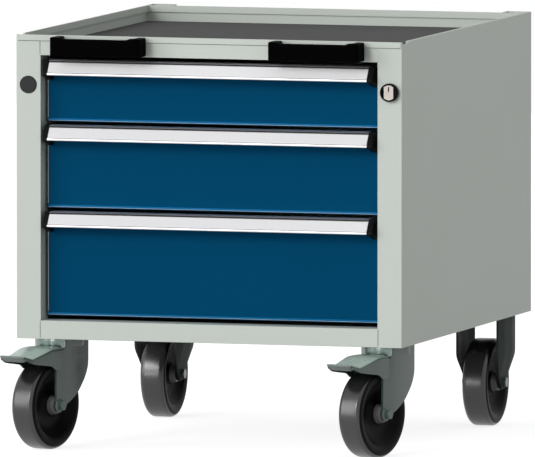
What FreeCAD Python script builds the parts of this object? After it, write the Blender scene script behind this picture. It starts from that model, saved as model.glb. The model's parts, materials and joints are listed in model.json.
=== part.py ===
# Mobile drawer cabinet: a sheet steel housing on four castors, with three drawers on
# telescopic runners, a sunken top with a rubber mat, two bow handles and a central lock.
# Frame: +X to the cabinet's right, -Y to its front, +Z up, with the floor at Z = 0 and
# the origin under the middle of the whole footprint, brake pedals included.

import FreeCAD, Part
import os
import re
import Sketcher
from FreeCAD import Placement, Rotation, Vector

doc = FreeCAD.newDocument("mobile_drawer_cabinet")

# Driving sizes, in millimetres and degrees
SIZES = {
    # Housing
    "width": 566,
    "depth": 650,
    "skin": 1.5,
    "post_width": 35.7,
    "return_depth": 34,
    "foot_depth": 18,
    "foot_flange": 15,
    "tray_fold": 14,
    "bottom_rail_height": 26,
    "top_rail_height": 28.5,
    "lip_height": 8,
    "lip_proud": 1.2,
    "hem_height": 9.3,
    "hem_thickness": 3.8,
    "hem_start": 31,
    "back_inset": 32,
    "rim_depth": 22.7,
    "mat_thickness": 3,
    "tray_sheet": 1.2,
    "base_sheet": 2,
    "base_rise": 8.5,
    "bend_radius": 1.3,
    "weld_gap": 0.1,
    "upright_width": 30,
    "front_upright": 44,
    "rear_upright": 560,
    # Drawers
    "bottom_front_height": 148,
    "middle_front_height": 118,
    "top_front_height": 88,
    "front_gap": 4,
    "low_margin": 6,
    "high_margin": 6.5,
    "front_recess": 18.8,
    "front_sheet": 1.2,
    "front_side_gap": 7.6,
    "flange_side_gap": 4.5,
    "bottom_fold": 14,
    "drawer_sheet": 1,
    "drawer_depth": 580,
    "drawer_floor_rise": 4,
    "drawer_rim_drop": 22,
    "rail_side_gap": 13,
    "cap_width": 7.2,
    "rail_reach": 11.6,
    # Runners
    "runner_length": 570,
    "runner_start": 40,
    "runner_height": 45,
    "runner_width": 12.7,
    "runner_sheet": 1.2,
    "runner_play": 0.4,
    "runner_rise": 6,
    # Handles
    "corner_drop": 3.4,
    "handle_length": 132,
    "handle_shift": 2,
    "handle_height": 26.5,
    "handle_reach": 34,
    "handle_spacing": 320,
    "handle_grip": 10,
    "handle_arm": 12,
    "handle_drop": 0.8,
    "handle_dip": 2.2,
    "handle_boss": 10,
    "screw_head": 3.2,
    # Lock
    "lock_inset": 17.7,
    "lock_drop": 70.4,
    "lock_collar": 25.8,
    "lock_reach": 7.8,
    "lock_face_height": 20.6,
    "lock_face_width": 13.7,
    "lock_barrel": 20,
    "crank_radius": 10,
    "crank_angle": 45,
    "crank_pin": 5,
    "bar_width": 16,
    "bar_thickness": 3,
    "bar_setback": 24,
    "bar_gap": 1.2,
    "finger_height": 5,
    "finger_reach": 12,
    "finger_drop": 30,
    # Castors
    "wheel_diameter": 125,
    "wheel_width": 37,
    "tread_gap": 33,
    "tyre_depth": 16.5,
    "track": 480,
    "front_castor": 66.2,
    "rear_castor": 565.2,
    "swivel_offset": 36,
    "swivel_turn": 16.5,
    "pedal_reach": 58,
    "plate_length": 105,
    "plate_width": 80,
    "plate_sheet": 2.5,
    "plate_corner": 10,
    "hole_pitch_long": 80,
    "hole_pitch_wide": 44,
    "bolt_diameter": 8,
    "collar_diameter": 69.8,
    "race_diameter": 48,
    "kingpin": 12,
    "fork_gap": 45,
    "fork_sheet": 3.5,
    "fork_nose": 7,
    "fork_rear": 38,
    "bracket_gap": 62,
    "bracket_foot": 23.5,
    "bracket_deep": 43.5,
    "bracket_sheet": 3,
    "axle": 8,
    "pedal_sheet": 2,
    "pedal_half": 28.3,
    "boss_half": 19.9,
    "pedal_pin": 5,
    # Running play
    "play": 0.3,
    "shaft_play": 0.1,
}

# Places that follow from the driving sizes
WORKED_OUT = {
    "half": "width / 2",
    "front": "-(depth - pedal_reach) / 2",
    "back": "front + depth",
    "body_low": "wheel_diameter + tread_gap",
    "opening_low": "body_low + bottom_rail_height",
    "bottom_low": "opening_low + low_margin",
    "bottom_high": "bottom_low + bottom_front_height",
    "middle_low": "bottom_high + front_gap",
    "middle_high": "middle_low + middle_front_height",
    "top_low": "middle_high + front_gap",
    "top_high": "top_low + top_front_height",
    "opening_high": "top_high + high_margin",
    "body_high": "opening_high + top_rail_height",
    "body_height": "body_high - body_low",
    "mat_high": "body_high - rim_depth",
    "mat_low": "mat_high - mat_thickness",
    "tray_low": "mat_low - tray_sheet",
    "opening_half": "half - post_width",
    "seam": "opening_half + skin",
    "base_low": "body_low + base_rise",
    "base_high": "base_low + base_sheet",
    "plate_low": "base_low - plate_sheet",
    "back_face": "back - back_inset",
    "box_half": "opening_half - runner_width - play",
    "lock_axis": "half - lock_inset",
    "lock_height": "body_high - lock_drop",
    "bar_inner": "opening_half + skin + bar_gap",
    "lock_lift": "2 * crank_radius * sin(crank_angle)",
    "wheel_radius": "wheel_diameter / 2",
    "rim_radius": "wheel_radius - tyre_depth",
    "crown_high": "body_low - 8",
    "crown_low": "crown_high - 8",
    "leg_outer": "fork_gap / 2 + fork_sheet",
    "pedal_pin_forward": "swivel_offset + 4",
    "pedal_pin_height": "crown_high - 16",
    "handle_high": "body_high - handle_drop",
    "handle_screw_height": "handle_high - handle_height / 2 - 4.4",
    "outer_half": "runner_height / 2",
    "middle_half": "outer_half - runner_sheet - runner_play",
    "inner_half": "middle_half - runner_sheet - runner_play",
}

DRAWERS = ("top", "middle", "bottom")

sheet = doc.addObject("Spreadsheet::Sheet", "sizes")
for row, (alias, size) in enumerate(SIZES.items(), start=1):
    sheet.set(f"A{row}", alias)
    sheet.set(f"B{row}", str(size))
    sheet.setAlias(f"B{row}", alias)
doc.recompute()

nodes = []


def formula(text):
    """An expression on the sheet, from a line written in the plain names above."""

    def swap(match):
        name = match.group(0)
        if name in WORKED_OUT:
            return f"({formula(WORKED_OUT[name])})"
        return f"sizes.{name}" if name in SIZES else name

    return re.sub(r"[A-Za-z_]\w*", swap, str(text))


def number(text):
    """The value that a formula has now."""
    return float(sheet.evalExpression(formula(text)))


def keep(item, label):
    """Mark an object as a finished piece that is written to a file of this name."""
    item.Label = label
    nodes.append(item)
    return item


def place(item, x=0, y=0, z=0, turn=None, axis=Vector(0, 0, 1)):
    """Put an object where the formulas say, turned about an axis if asked."""
    item.Placement = Placement(Vector(0, 0, 0), Rotation(axis, 1 if turn else 0))
    for letter, text in zip("xyz", (x, y, z)):
        item.setExpression(f"Placement.Base.{letter}", formula(text))
    if turn:
        item.setExpression("Placement.Rotation.Angle", formula(turn))
    return item


def new_body(name):
    return doc.addObject("PartDesign::Body", name)


def new_sketch(body, plane, lift="0"):
    """A sketch on one of the body's origin planes, raised along its normal."""
    face = next(item for item in body.Origin.OriginFeatures if item.Role == f"{plane}_Plane")
    sketch = body.newObject("Sketcher::SketchObject", "outline")
    sketch.AttachmentSupport = [(face, "")]
    sketch.MapMode = "FlatFace"
    sketch.setExpression("AttachmentOffset.Base.z", formula(lift))
    return sketch


def draw(sketch, *runs):
    """Closed runs of straight lines through corners given as pairs of formulas."""
    for corners in runs:
        first = sketch.GeometryCount
        count = len(corners)
        points = [Vector(number(a), number(b), 0) for a, b in corners]
        lines = [Part.LineSegment(points[i], points[(i + 1) % count]) for i in range(count)]
        sketch.addGeometry(lines, False)
        joins = [
            Sketcher.Constraint("Coincident", first + i, 2, first + (i + 1) % count, 1)
            for i in range(count)
        ]
        sketch.addConstraint(joins)
        for i, pair in enumerate(corners):
            for kind, text in zip(("DistanceX", "DistanceY"), pair):
                index = sketch.addConstraint(
                    Sketcher.Constraint(kind, first + i, 1, number(text))
                )
                sketch.setExpression(f"Constraints[{index}]", formula(text))
    return sketch


def draw_circle(sketch, x, y, diameter):
    """A circle whose centre and diameter are formulas."""
    centre = Vector(number(x), number(y), 0)
    index = sketch.addGeometry(Part.Circle(centre, Vector(0, 0, 1), number(diameter) / 2), False)
    for kind, text in (("DistanceX", x), ("DistanceY", y)):
        held = sketch.addConstraint(Sketcher.Constraint(kind, index, 3, number(text)))
        sketch.setExpression(f"Constraints[{held}]", formula(text))
    held = sketch.addConstraint(Sketcher.Constraint("Diameter", index, number(diameter)))
    sketch.setExpression(f"Constraints[{held}]", formula(diameter))
    return sketch


def box_corners(x0, x1, y0, y1):
    return [(x0, y0), (x1, y0), (x1, y1), (x0, y1)]


def pad(body, sketch, length, both=False, back=False):
    """Raise a sketch by a length, to one side or half to each side."""
    feature = body.newObject("PartDesign::Pad", "pad")
    feature.Profile = sketch
    feature.setExpression("Length", formula(length))
    feature.SideType = "Symmetric" if both else "One side"
    feature.Reversed = back
    return feature


def pocket(body, sketch, length=None, both=False, back=False):
    """Cut a sketch into the body, by a length or right through."""
    feature = body.newObject("PartDesign::Pocket", "pocket")
    feature.Profile = sketch
    if length is None:
        feature.Type = "ThroughAll"
    else:
        feature.setExpression("Length", formula(length))
    feature.SideType = "Symmetric" if both else "One side"
    feature.Reversed = back
    return feature


def slab(body, x0, x1, y0, y1, z0, z1):
    """A block between formulas, as one more pad of the body."""
    sketch = draw(new_sketch(body, "XY", z0), box_corners(x0, x1, y0, y1))
    return pad(body, sketch, f"({z1}) - ({z0})")


def trim(body, plane, corners, reach=400):
    """Cut away everything outside an outline, right through both ways."""
    frame = box_corners(-reach, reach, -reach, reach)
    return pocket(body, draw(new_sketch(body, plane), frame, corners), both=True)


def revolve(body, sketch):
    """Turn a profile about its sketch's horizontal axis."""
    feature = body.newObject("PartDesign::Revolution", "revolution")
    feature.Profile = sketch
    feature.ReferenceAxis = (sketch, ["H_Axis"])
    feature.Angle = 360
    return feature


def loft(body, *sketches):
    """Straight walls from each section to the next."""
    feature = body.newObject("PartDesign::AdditiveLoft", "loft")
    feature.Profile = sketches[0]
    feature.Sections = list(sketches[1:])
    feature.Ruled = True
    return feature


def round_edges(body, radius, wanted):
    """Round the edges of the body's last shape whose middle passes the test."""
    doc.recompute()
    base = body.Tip
    names = [
        f"Edge{i}"
        for i, edge in enumerate(base.Shape.Edges, start=1)
        if wanted(edge, edge.CenterOfMass)
    ]
    if not names:
        raise ValueError(f"no edge to round on {body.Name}")
    feature = body.newObject("PartDesign::Fillet", "fillet")
    feature.Base = (base, names)
    feature.setExpression("Radius", formula(radius))
    return feature


def bevel_edges(body, size, wanted):
    """Cut the edges of the body's last shape whose middle passes the test at 45 degrees."""
    doc.recompute()
    base = body.Tip
    names = [
        f"Edge{i}"
        for i, edge in enumerate(base.Shape.Edges, start=1)
        if wanted(edge, edge.CenterOfMass)
    ]
    if not names:
        raise ValueError(f"no edge to bevel on {body.Name}")
    feature = body.newObject("PartDesign::Chamfer", "chamfer")
    feature.Base = (base, names)
    feature.setExpression("Size", formula(size))
    return feature


def same(value, text, slack=0.01):
    return abs(value - number(text)) < slack


def along(edge, axis):
    """Whether an edge is straight and runs along this axis."""
    if edge.Curve.TypeId != "Part::GeomLine":
        return False
    return abs(abs(edge.Curve.Direction.dot(axis)) - 1) < 1e-6


def mirror(item, name):
    """The same piece on the other side of the cabinet's middle plane."""
    copy = doc.addObject("Part::Mirroring", name)
    copy.Source = item
    copy.Base = Vector(0, 0, 0)
    copy.Normal = Vector(1, 0, 0)
    return copy


def group(label, items):
    """Several separate solids of one kind, kept as one piece."""
    item = doc.addObject("Part::Compound", label)
    item.Links = items
    return keep(item, label)


def copies(form, name, places):
    """Linked copies of a form at places given as triples of formulas."""
    made = []
    for spot in places:
        link = doc.addObject("App::Link", name)
        link.LinkedObject = form
        made.append(place(link, *spot))
    return made


X = Vector(1, 0, 0)
Y = Vector(0, 1, 0)
Z = Vector(0, 0, 1)


# Housing

def side_panel(name, side):
    """One folded sheet: skin, front and rear posts, the front post's return, and hems.

    side is 1 for the right-hand panel and -1 for the left-hand one.
    """
    body = new_body(name)
    outer = f"{side} * half"
    inner = f"{side} * (half - skin)"
    flange = f"{side} * (opening_half + skin)"
    opening = f"{side} * opening_half"
    plan = [
        (flange, "front"),
        (outer, "front"),
        (outer, "back"),
        (opening, "back"),
        (opening, "back_face + tray_sheet + weld_gap"),
        (f"{side} * (opening_half + skin)", "back_face + tray_sheet + weld_gap"),
        (f"{side} * (opening_half + skin)", "back - skin"),
        (inner, "back - skin"),
        (inner, "front + skin"),
        (flange, "front + skin"),
    ]
    pad(body, draw(new_sketch(body, "XY", "body_low"), plan), "body_height")
    slab(body, opening, flange, "front", "front + return_depth", "opening_low", "opening_high")
    slab(body, f"{side} * (half - foot_flange)", inner,
         "front + front_castor + plate_length / 2", "front + rear_castor - plate_length / 2",
         "base_high + weld_gap", "base_high + weld_gap + skin")
    hem = [
        (outer, "body_high"),
        (f"{side} * (half - hem_thickness)", "body_high"),
        (f"{side} * (half - hem_thickness)", "body_high - hem_height"),
        (f"{side} * (half - hem_thickness + skin)", "body_high - hem_height"),
        (f"{side} * (half - hem_thickness + skin)", "body_high - skin"),
        (outer, "body_high - skin"),
    ]
    hem_sketch = draw(new_sketch(body, "XZ", "-(back_face - weld_gap)"), hem)
    pad(body, hem_sketch, "back_face - weld_gap - front - hem_start")
    lowered = draw(
        new_sketch(body, "XY", "body_high"),
        box_corners(flange, inner, "front - 1", "front + skin + 1"),
    )
    pocket(body, lowered, "skin + weld_gap")
    corner = draw(
        new_sketch(body, "XY", "body_high"),
        box_corners(f"{side} * (half + 1)", f"{side} * (half - skin - 1)", "front + skin + 1",
                    "front + hem_start"),
    )
    pocket(body, corner, "corner_drop")
    hole = draw_circle(new_sketch(body, "XZ", "-front"), f"{side} * lock_axis", "lock_height",
                       "lock_barrel + 2 * weld_gap")
    pocket(body, hole, "skin + 1")
    if side > 0:
        for drawer in DRAWERS:
            finger_low = f"{drawer}_high - finger_drop"
            slot = draw(
                new_sketch(body, "YZ"),
                box_corners(
                    "front + bar_setback - 1",
                    "front + bar_setback + bar_thickness + 1",
                    f"{finger_low} - 1.5",
                    f"{finger_low} + finger_height + lock_lift + 1.5",
                ),
            )
            pocket(body, slot, "opening_half + skin + 0.5", back=True)
    round_edges(body, "bend_radius", lambda edge, at: along(edge, Z)
                and same(at.x, outer) and (same(at.y, "front") or same(at.y, "back")))
    round_edges(body, "bend_radius", lambda edge, at: along(edge, Y)
                and same(at.x, outer) and same(at.z, "body_high") and edge.Length > 100)
    return keep(body, name)


def back_panel():
    """Inset rear sheet that closes the housing and ends in a hem at the rim."""
    body = new_body("back_panel")
    section = [
        ("back_face", "body_low"),
        ("back_face + tray_sheet", "body_low"),
        ("back_face + tray_sheet", "body_high"),
        ("back_face + tray_sheet - hem_thickness", "body_high"),
        ("back_face + tray_sheet - hem_thickness", "body_high - hem_height"),
        ("back_face + 2 * tray_sheet - hem_thickness", "body_high - hem_height"),
        ("back_face + 2 * tray_sheet - hem_thickness", "body_high - tray_sheet"),
        ("back_face", "body_high - tray_sheet"),
    ]
    pad(body, draw(new_sketch(body, "YZ"), section), "2 * (half - skin - weld_gap)", both=True)
    for side in (-1, 1):
        clear = draw(
            new_sketch(body, "XY", "body_high"),
            box_corners(
                f"{side} * (half - hem_thickness - weld_gap)",
                f"{side} * half",
                "back_face - hem_thickness - 1",
                "back_face",
            ),
        )
        pocket(body, clear, "hem_height + 1")
    return keep(body, "back_panel")


def base_plate():
    """Floor sheet of the housing that the castors are bolted to."""
    body = new_body("base_plate")
    slab(body, "-(half - skin - weld_gap)", "half - skin - weld_gap",
         "front + skin + weld_gap", "back_face - weld_gap", "base_low", "base_high")
    holes = new_sketch(body, "XY", "base_high")
    reach = "(bolt_diameter / 2 + 0.7)"
    for x, y in bolt_places():
        draw(holes, box_corners(f"{x} - {reach}", f"{x} + {reach}",
                                f"{y} - {reach}", f"{y} + {reach}"))
    pocket(body, holes)
    return keep(body, "base_plate")


def bolt_places():
    """Where the castor bolts stand: four to each of the four plates."""
    return [
        (f"{a} * track / 2 + {b} * hole_pitch_wide / 2", f"front + {row} + {c} * hole_pitch_long / 2")
        for a in (-1, 1)
        for row in ("front_castor", "rear_castor")
        for b in (-1, 1)
        for c in (-1, 1)
    ]


def top_tray():
    """Sunken top: a sheet with its edges folded down beside the skins."""
    body = new_body("top_tray")
    rim = "half - skin - weld_gap"
    slab(body, f"-({rim})", rim, "front + skin + weld_gap", "back_face - weld_gap",
         "tray_low", "mat_low")
    for side in (-1, 1):
        slab(body, f"{side} * ({rim})", f"{side} * ({rim} - tray_sheet)",
             "front + front_upright + upright_width + 2", "front + rear_upright - 2",
             "tray_low - tray_fold", "tray_low")
    return keep(body, "top_tray")


def top_mat():
    """Rubber mat that lies in the sunken top."""
    body = new_body("top_mat")
    slab(body, "-(half - skin - play)", "half - skin - play",
         "front + skin + screw_head + play", "back_face - play", "mat_low", "mat_high")
    return keep(body, "top_mat")


def top_rail():
    """Front rail above the drawers, with a return below and a closed hem as its lip."""
    body = new_body("top_rail")
    section = [
        ("front", "opening_high"),
        ("front + return_depth", "opening_high"),
        ("front + return_depth", "opening_high + skin"),
        ("front + skin", "opening_high + skin"),
        ("front + skin", "body_high - lip_height"),
        ("front", "body_high - lip_height"),
    ]
    pad(body, draw(new_sketch(body, "YZ"), section), "2 * (seam - weld_gap)", both=True)
    lip = box_corners("front - lip_proud", "front + skin + lip_proud",
                      "body_high - lip_height", "body_high")
    pad(body, draw(new_sketch(body, "YZ"), lip), "2 * (half - skin - weld_gap)", both=True)
    for side in (-1, 1):
        slot = draw(
            new_sketch(body, "XY", "body_high - skin"),
            box_corners(
                f"{side} * (seam - weld_gap)",
                f"{side} * half",
                "front - weld_gap",
                "front + skin + weld_gap",
            ),
        )
        pocket(body, slot, "lip_height")
    for x in screw_places():
        hole = draw_circle(new_sketch(body, "XZ", "-front"), x, "handle_screw_height", 5.4)
        pocket(body, hole, "skin + 1")
    round_edges(body, "lip_height / 2", lambda edge, at: along(edge, Y)
                and same(abs(at.x), "half - skin - weld_gap")
                and same(at.z, "body_high - lip_height") and at.y < number("front"))
    round_edges(body, "lip_proud / 2", lambda edge, at: along(edge, X)
                and same(at.y, "front - lip_proud") and same(at.z, "body_high"))
    return keep(body, "top_rail")


def bottom_rail():
    """Front rail below the drawers, a channel that opens to the rear."""
    body = new_body("bottom_rail")
    section = [
        ("front", "body_low"),
        ("front + skin", "body_low"),
        ("front + skin", "base_high + weld_gap"),
        ("front + foot_depth", "base_high + weld_gap"),
        ("front + foot_depth", "base_high + weld_gap + skin"),
        ("front + skin", "base_high + weld_gap + skin"),
        ("front + skin", "opening_low - skin"),
        ("front + return_depth", "opening_low - skin"),
        ("front + return_depth", "opening_low"),
        ("front", "opening_low"),
    ]
    pad(body, draw(new_sketch(body, "YZ"), section), "2 * (seam - weld_gap)", both=True)
    round_edges(body, "skin / 2", lambda edge, at: along(edge, X) and same(at.y, "front"))
    return keep(body, "bottom_rail")


def runner_uprights():
    """Four channels inside the skins that the runners are fixed to."""
    body = new_body("upright_form")
    channel = [
        ("opening_half", "0"),
        ("half - skin - weld_gap", "0"),
        ("half - skin - weld_gap", "skin"),
        ("opening_half + skin", "skin"),
        ("opening_half + skin", "upright_width - skin"),
        ("half - skin - weld_gap", "upright_width - skin"),
        ("half - skin - weld_gap", "upright_width"),
        ("opening_half", "upright_width"),
    ]
    pad(body, draw(new_sketch(body, "XY"), channel), "opening_high - base_high - 2 * skin")
    low = "base_high + skin + 2 * weld_gap"
    places = [(0, f"front + {row}", low) for row in ("front_upright", "rear_upright")]
    both = [body, mirror(body, "upright_form_left")]
    group("runner_uprights", [item for form in both for item in copies(form, "upright", places)])


def screw_places():
    """Where the handle screws stand across the cabinet."""
    return [
        f"handle_shift + {side} * handle_spacing / 2 + {end} * (handle_length - handle_arm) / 2"
        for side in (-1, 1)
        for end in (-1, 1)
    ]


def handles():
    """Bow handles: two arms and a lower grip, with a step where the arms pass the rail's lip."""
    body = new_body("handle_form")
    reach = "-handle_reach"
    bow = [
        ("-handle_length / 2", 0),
        ("-handle_length / 2", reach),
        ("handle_length / 2", reach),
        ("handle_length / 2", 0),
        ("handle_length / 2 - handle_arm", 0),
        ("handle_length / 2 - handle_arm", "handle_grip - handle_reach"),
        ("handle_arm - handle_length / 2", "handle_grip - handle_reach"),
        ("handle_arm - handle_length / 2", 0),
    ]
    pad(body, draw(new_sketch(body, "XY"), bow), "handle_height")
    lip_low = "body_high - lip_height - (handle_high - handle_height)"
    step = draw(new_sketch(body, "YZ"), box_corners("-lip_proud - weld_gap", 1,
                                                    f"{lip_low} - play", "handle_height + 1"))
    pocket(body, step, both=True)
    dip = [
        ("handle_boss + 6 - handle_length / 2", "handle_height - handle_dip"),
        ("handle_length / 2 - handle_boss - 6", "handle_height - handle_dip"),
        ("handle_length / 2 - handle_boss", "handle_height + 1"),
        ("handle_boss - handle_length / 2", "handle_height + 1"),
    ]
    pocket(body, draw(new_sketch(body, "XZ"), dip), both=True)
    for end in (-1, 1):
        hole = draw_circle(new_sketch(body, "XZ"), f"{end} * (handle_length - handle_arm) / 2",
                           "handle_screw_height - handle_high + handle_height", 5.1)
        pocket(body, hole, 14, back=True)
    round_edges(body, 6, lambda edge, at: along(edge, Z) and same(at.y, reach))
    round_edges(body, 5, lambda edge, at: along(edge, Z) and same(at.y, "handle_grip - handle_reach"))
    bevel_edges(body, 2, lambda edge, at: same(at.y, reach, 3.5) and same(at.z, 0))
    places = [(f"handle_shift + {side} * handle_spacing / 2", "front", "handle_high - handle_height")
              for side in (-1, 1)]
    group("handles", copies(body, "handle", places))


def handle_screws():
    """Pan head screws that hold the handles from behind the rail."""
    body = new_body("handle_screw_form")
    pad(body, draw_circle(new_sketch(body, "XZ"), 0, 0, 5), "12 + skin")
    pad(body, draw_circle(new_sketch(body, "XZ"), 0, 0, 9.5), "screw_head", back=True)
    places = [(x, "front + skin", "handle_screw_height") for x in screw_places()]
    group("handle_screws", copies(body, "handle_screw", places))


def blind_plug():
    """Domed plug in the left-hand post, where a lock could sit instead."""
    body = new_body("blind_plug")
    pad(body, draw_circle(new_sketch(body, "XZ"), 0, 0, 25), 1.8)
    pad(body, draw_circle(new_sketch(body, "XZ"), 0, 0, "lock_barrel"), 8, back=True)
    bevel_edges(body, 1.2, lambda edge, at: same(at.y, -1.8))
    place(body, "-lock_axis", "front", "lock_height")
    return keep(body, "blind_plug")


# Lock

def lock_housing():
    """Fixed barrel of the lock, with a round collar in front of the post."""
    body = new_body("lock_housing")
    pad(body, draw_circle(new_sketch(body, "XZ"), 0, 0, "lock_collar"), "lock_reach")
    pad(body, draw_circle(new_sketch(body, "XZ"), 0, 0, "lock_barrel"),
        "bar_setback - 4", back=True)
    pocket(body, draw_circle(new_sketch(body, "XZ", "lock_reach"), 0, 0,
                             "lock_face_height + 2 * play"), 4)
    pocket(body, draw_circle(new_sketch(body, "XZ", "lock_reach"), 0, 0,
                             "14 + 2 * shaft_play"))
    bevel_edges(body, 1.5, lambda edge, at: same(at.y, "-lock_reach")
                and edge.Curve.TypeId == "Part::GeomCircle"
                and same(edge.Curve.Radius, "lock_collar / 2"))
    place(body, "lock_axis", "front", "lock_height")
    return keep(body, "lock_housing")


def lock_cylinder():
    """Turning barrel: a face with two flats and a keyway, and a spigot for the cam."""
    body = new_body("lock_cylinder")
    pad(body, draw_circle(new_sketch(body, "XZ", "lock_reach - 4 + play"), 0, 0,
                          "lock_face_height"), 3.2)
    pad(body, draw_circle(new_sketch(body, "XZ", "lock_reach - 4 + play"), 0, 0, 14),
        "lock_reach + bar_setback - 8 + play", back=True)
    pad(body, draw_circle(new_sketch(body, "XZ", "4 - bar_setback"), 0, 0, 8), 3.5, back=True)
    for side in (-1, 1):
        flat = draw(new_sketch(body, "XZ", "lock_reach - 4 + play"),
                    box_corners(f"{side} * lock_face_width / 2", f"{side} * 12", -12, 12))
        pocket(body, flat, 4, back=True)
    keyway = draw(new_sketch(body, "XZ", "lock_reach - 0.5"), box_corners(-0.9, 0.9, 1.5, 8))
    pocket(body, keyway, 7)
    place(body, "lock_axis", "front", "lock_height")
    return keep(body, "lock_cylinder")


def lock_cam():
    """Crank on the cylinder's spigot, whose pin lifts the locking bar."""
    body = new_body("lock_cam")
    web = [
        (0, 8),
        ("-crank_radius", 5),
        ("-crank_radius", -5),
        (0, -8),
    ]
    pad(body, draw(new_sketch(body, "XZ"), web), 3, back=True)
    pad(body, draw_circle(new_sketch(body, "XZ"), 0, 0, 16), 3, back=True)
    pad(body, draw_circle(new_sketch(body, "XZ"), "-crank_radius", 0, 10), 3, back=True)
    pad(body, draw_circle(new_sketch(body, "XZ"), "-crank_radius", 0, "crank_pin"),
        "3 + bar_thickness + 0.7", back=True)
    bore = draw_circle(new_sketch(body, "XZ"), 0, 0, 8.1)
    pocket(body, bore, both=True)
    place(body, "lock_axis", "front + bar_setback - 3.7", "lock_height", "-crank_angle", Y)
    return keep(body, "lock_cam")


def locking_bar():
    """Flat bar in the right-hand post with a finger for each drawer and a crank slot."""
    body = new_body("locking_bar")
    near = "front + bar_setback"
    far = f"{near} + bar_thickness"
    slab(body, "bar_inner", "bar_inner + bar_width", near, far,
         "bottom_low", "top_high - finger_drop + finger_height + 6")
    for drawer in DRAWERS:
        low = f"{drawer}_high - finger_drop"
        slab(body, "bar_inner - finger_reach", "bar_inner + 1", near, far, low,
             f"{low} + finger_height")
    pin_low = "lock_height - crank_radius * sin(crank_angle)"
    slot = draw(
        new_sketch(body, "XZ", f"-({near})"),
        box_corners(
            "lock_axis - crank_radius - crank_pin / 2 - play",
            "lock_axis - crank_radius * cos(crank_angle) + crank_pin / 2 + play",
            f"{pin_low} - crank_pin / 2 - 0.6",
            f"{pin_low} + crank_pin / 2 + 0.6",
        ),
    )
    pocket(body, slot)
    return keep(body, "locking_bar")


def bar_guides():
    """Clips on the post's return that the locking bar slides in."""
    body = new_body("bar_guide_form")
    near = "bar_setback - play"
    far = "bar_setback + bar_thickness + play"
    end = "bar_inner + bar_width + play"
    clip = [
        ("opening_half + skin", near),
        (end, near),
        (end, far),
        ("opening_half + skin", far),
        ("opening_half + skin", f"{far} + 1.2"),
        (f"{end} + 1.2", f"{far} + 1.2"),
        (f"{end} + 1.2", f"{near} - 1.2"),
        ("opening_half + skin", f"{near} - 1.2"),
    ]
    pad(body, draw(new_sketch(body, "XY"), clip), 12)
    places = [(0, "front", f"{drawer}_low + 20") for drawer in ("bottom", "middle")]
    group("bar_guides", copies(body, "bar_guide", places))


# Drawers

def drawer_box(drawer):
    """Folded drawer box, open at the top."""
    body = new_body(f"drawer_box_{drawer}")
    low = f"{drawer}_low"
    high = f"{drawer}_high"
    near = "front + front_recess + front_sheet + drawer_sheet"
    far = "front + front_recess + drawer_depth"
    slab(body, "-box_half", "box_half", near, far, f"{low} + drawer_floor_rise",
         f"{high} - drawer_rim_drop")
    inside = draw(
        new_sketch(body, "XY", f"{high} - drawer_rim_drop"),
        box_corners("drawer_sheet - box_half", "box_half - drawer_sheet",
                    f"{near} + drawer_sheet", f"{far} - drawer_sheet"),
    )
    pocket(body, inside,
           f"{high} - {low} - drawer_rim_drop - drawer_floor_rise - drawer_sheet")
    return keep(body, f"drawer_box_{drawer}")


def drawer_frame(drawer):
    """Wide sheet between box and front, with the catch that the lock's finger holds."""
    body = new_body(f"drawer_frame_{drawer}")
    low = f"{drawer}_low"
    high = f"{drawer}_high"
    near = "front + front_recess + front_sheet"
    reach = "opening_half - flange_side_gap"
    slab(body, f"-({reach})", reach, near, f"{near} + drawer_sheet",
         f"{low} + front_sheet + 0.2", f"{high} - 3")
    finger_low = f"{high} - finger_drop"
    slab(body, f"{reach} - drawer_sheet", reach, near, "front + bar_setback + bar_thickness + 10",
         f"{finger_low} - 4", f"{high} - 4")
    bayonet = [
        ("front + bar_setback - 1", f"{finger_low} - 1.5"),
        ("front + bar_setback + bar_thickness + 12", f"{finger_low} - 1.5"),
        ("front + bar_setback + bar_thickness + 12", f"{finger_low} + finger_height + 2"),
        ("front + bar_setback + bar_thickness + 1.5", f"{finger_low} + finger_height + 2"),
        ("front + bar_setback + bar_thickness + 1.5", f"{finger_low} + finger_height + lock_lift + 1.5"),
        ("front + bar_setback - 1", f"{finger_low} + finger_height + lock_lift + 1.5"),
    ]
    pocket(body, draw(new_sketch(body, "YZ", f"{reach} + 1"), bayonet), "drawer_sheet + 1.5")
    return keep(body, f"drawer_frame_{drawer}")


def drawer_front(drawer):
    """Painted front sheet with its lower edge folded back under the drawer."""
    body = new_body(f"drawer_front_{drawer}")
    low = f"{drawer}_low"
    near = "front + front_recess"
    slab(body, "-(opening_half - front_side_gap)", "opening_half - front_side_gap",
         near, f"{near} + front_sheet", low, f"{drawer}_high - 1")
    slab(body, "-(opening_half - flange_side_gap)", "opening_half - flange_side_gap",
         f"{near} + front_sheet / 2", f"{near} + bottom_fold", low, f"{low} + front_sheet")
    round_edges(body, "front_sheet * 0.8", lambda edge, at: along(edge, X)
                and same(at.y, near) and same(at.z, low))
    return keep(body, f"drawer_front_{drawer}")


def grip_rail(drawer):
    """Extruded grip: a rear wall, a flat top with a bead, a slanted label seat and a lip."""
    body = new_body(f"grip_rail_{drawer}")
    profile = [
        ("front_recess", 0),
        (0.4, 0),
        (0, -0.4),
        (0, -1.8),
        (1.6, -2.2),
        (0.6, -3.0),
        (-0.9, -3.1),
        (-0.34, -3.95),
        (-9.84, -17.95),
        (-10.6, -17.4),
        ("-rail_reach", -18.2),
        ("-rail_reach", -20.4),
        ("0.6 - rail_reach", -21),
        ("1.8 - rail_reach", -21),
        (-8.3, -18.6),
        (1.2, -4.6),
        (3.2, -1.8),
        ("front_recess - 1.8", -1.8),
        ("front_recess - 1.8", -28),
        ("front_recess", -28),
    ]
    pad(body, draw(new_sketch(body, "YZ"), profile), "2 * (opening_half - rail_side_gap)",
        both=True)
    place(body, 0, "front", f"{drawer}_high")
    return keep(body, f"grip_rail_{drawer}")


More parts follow.
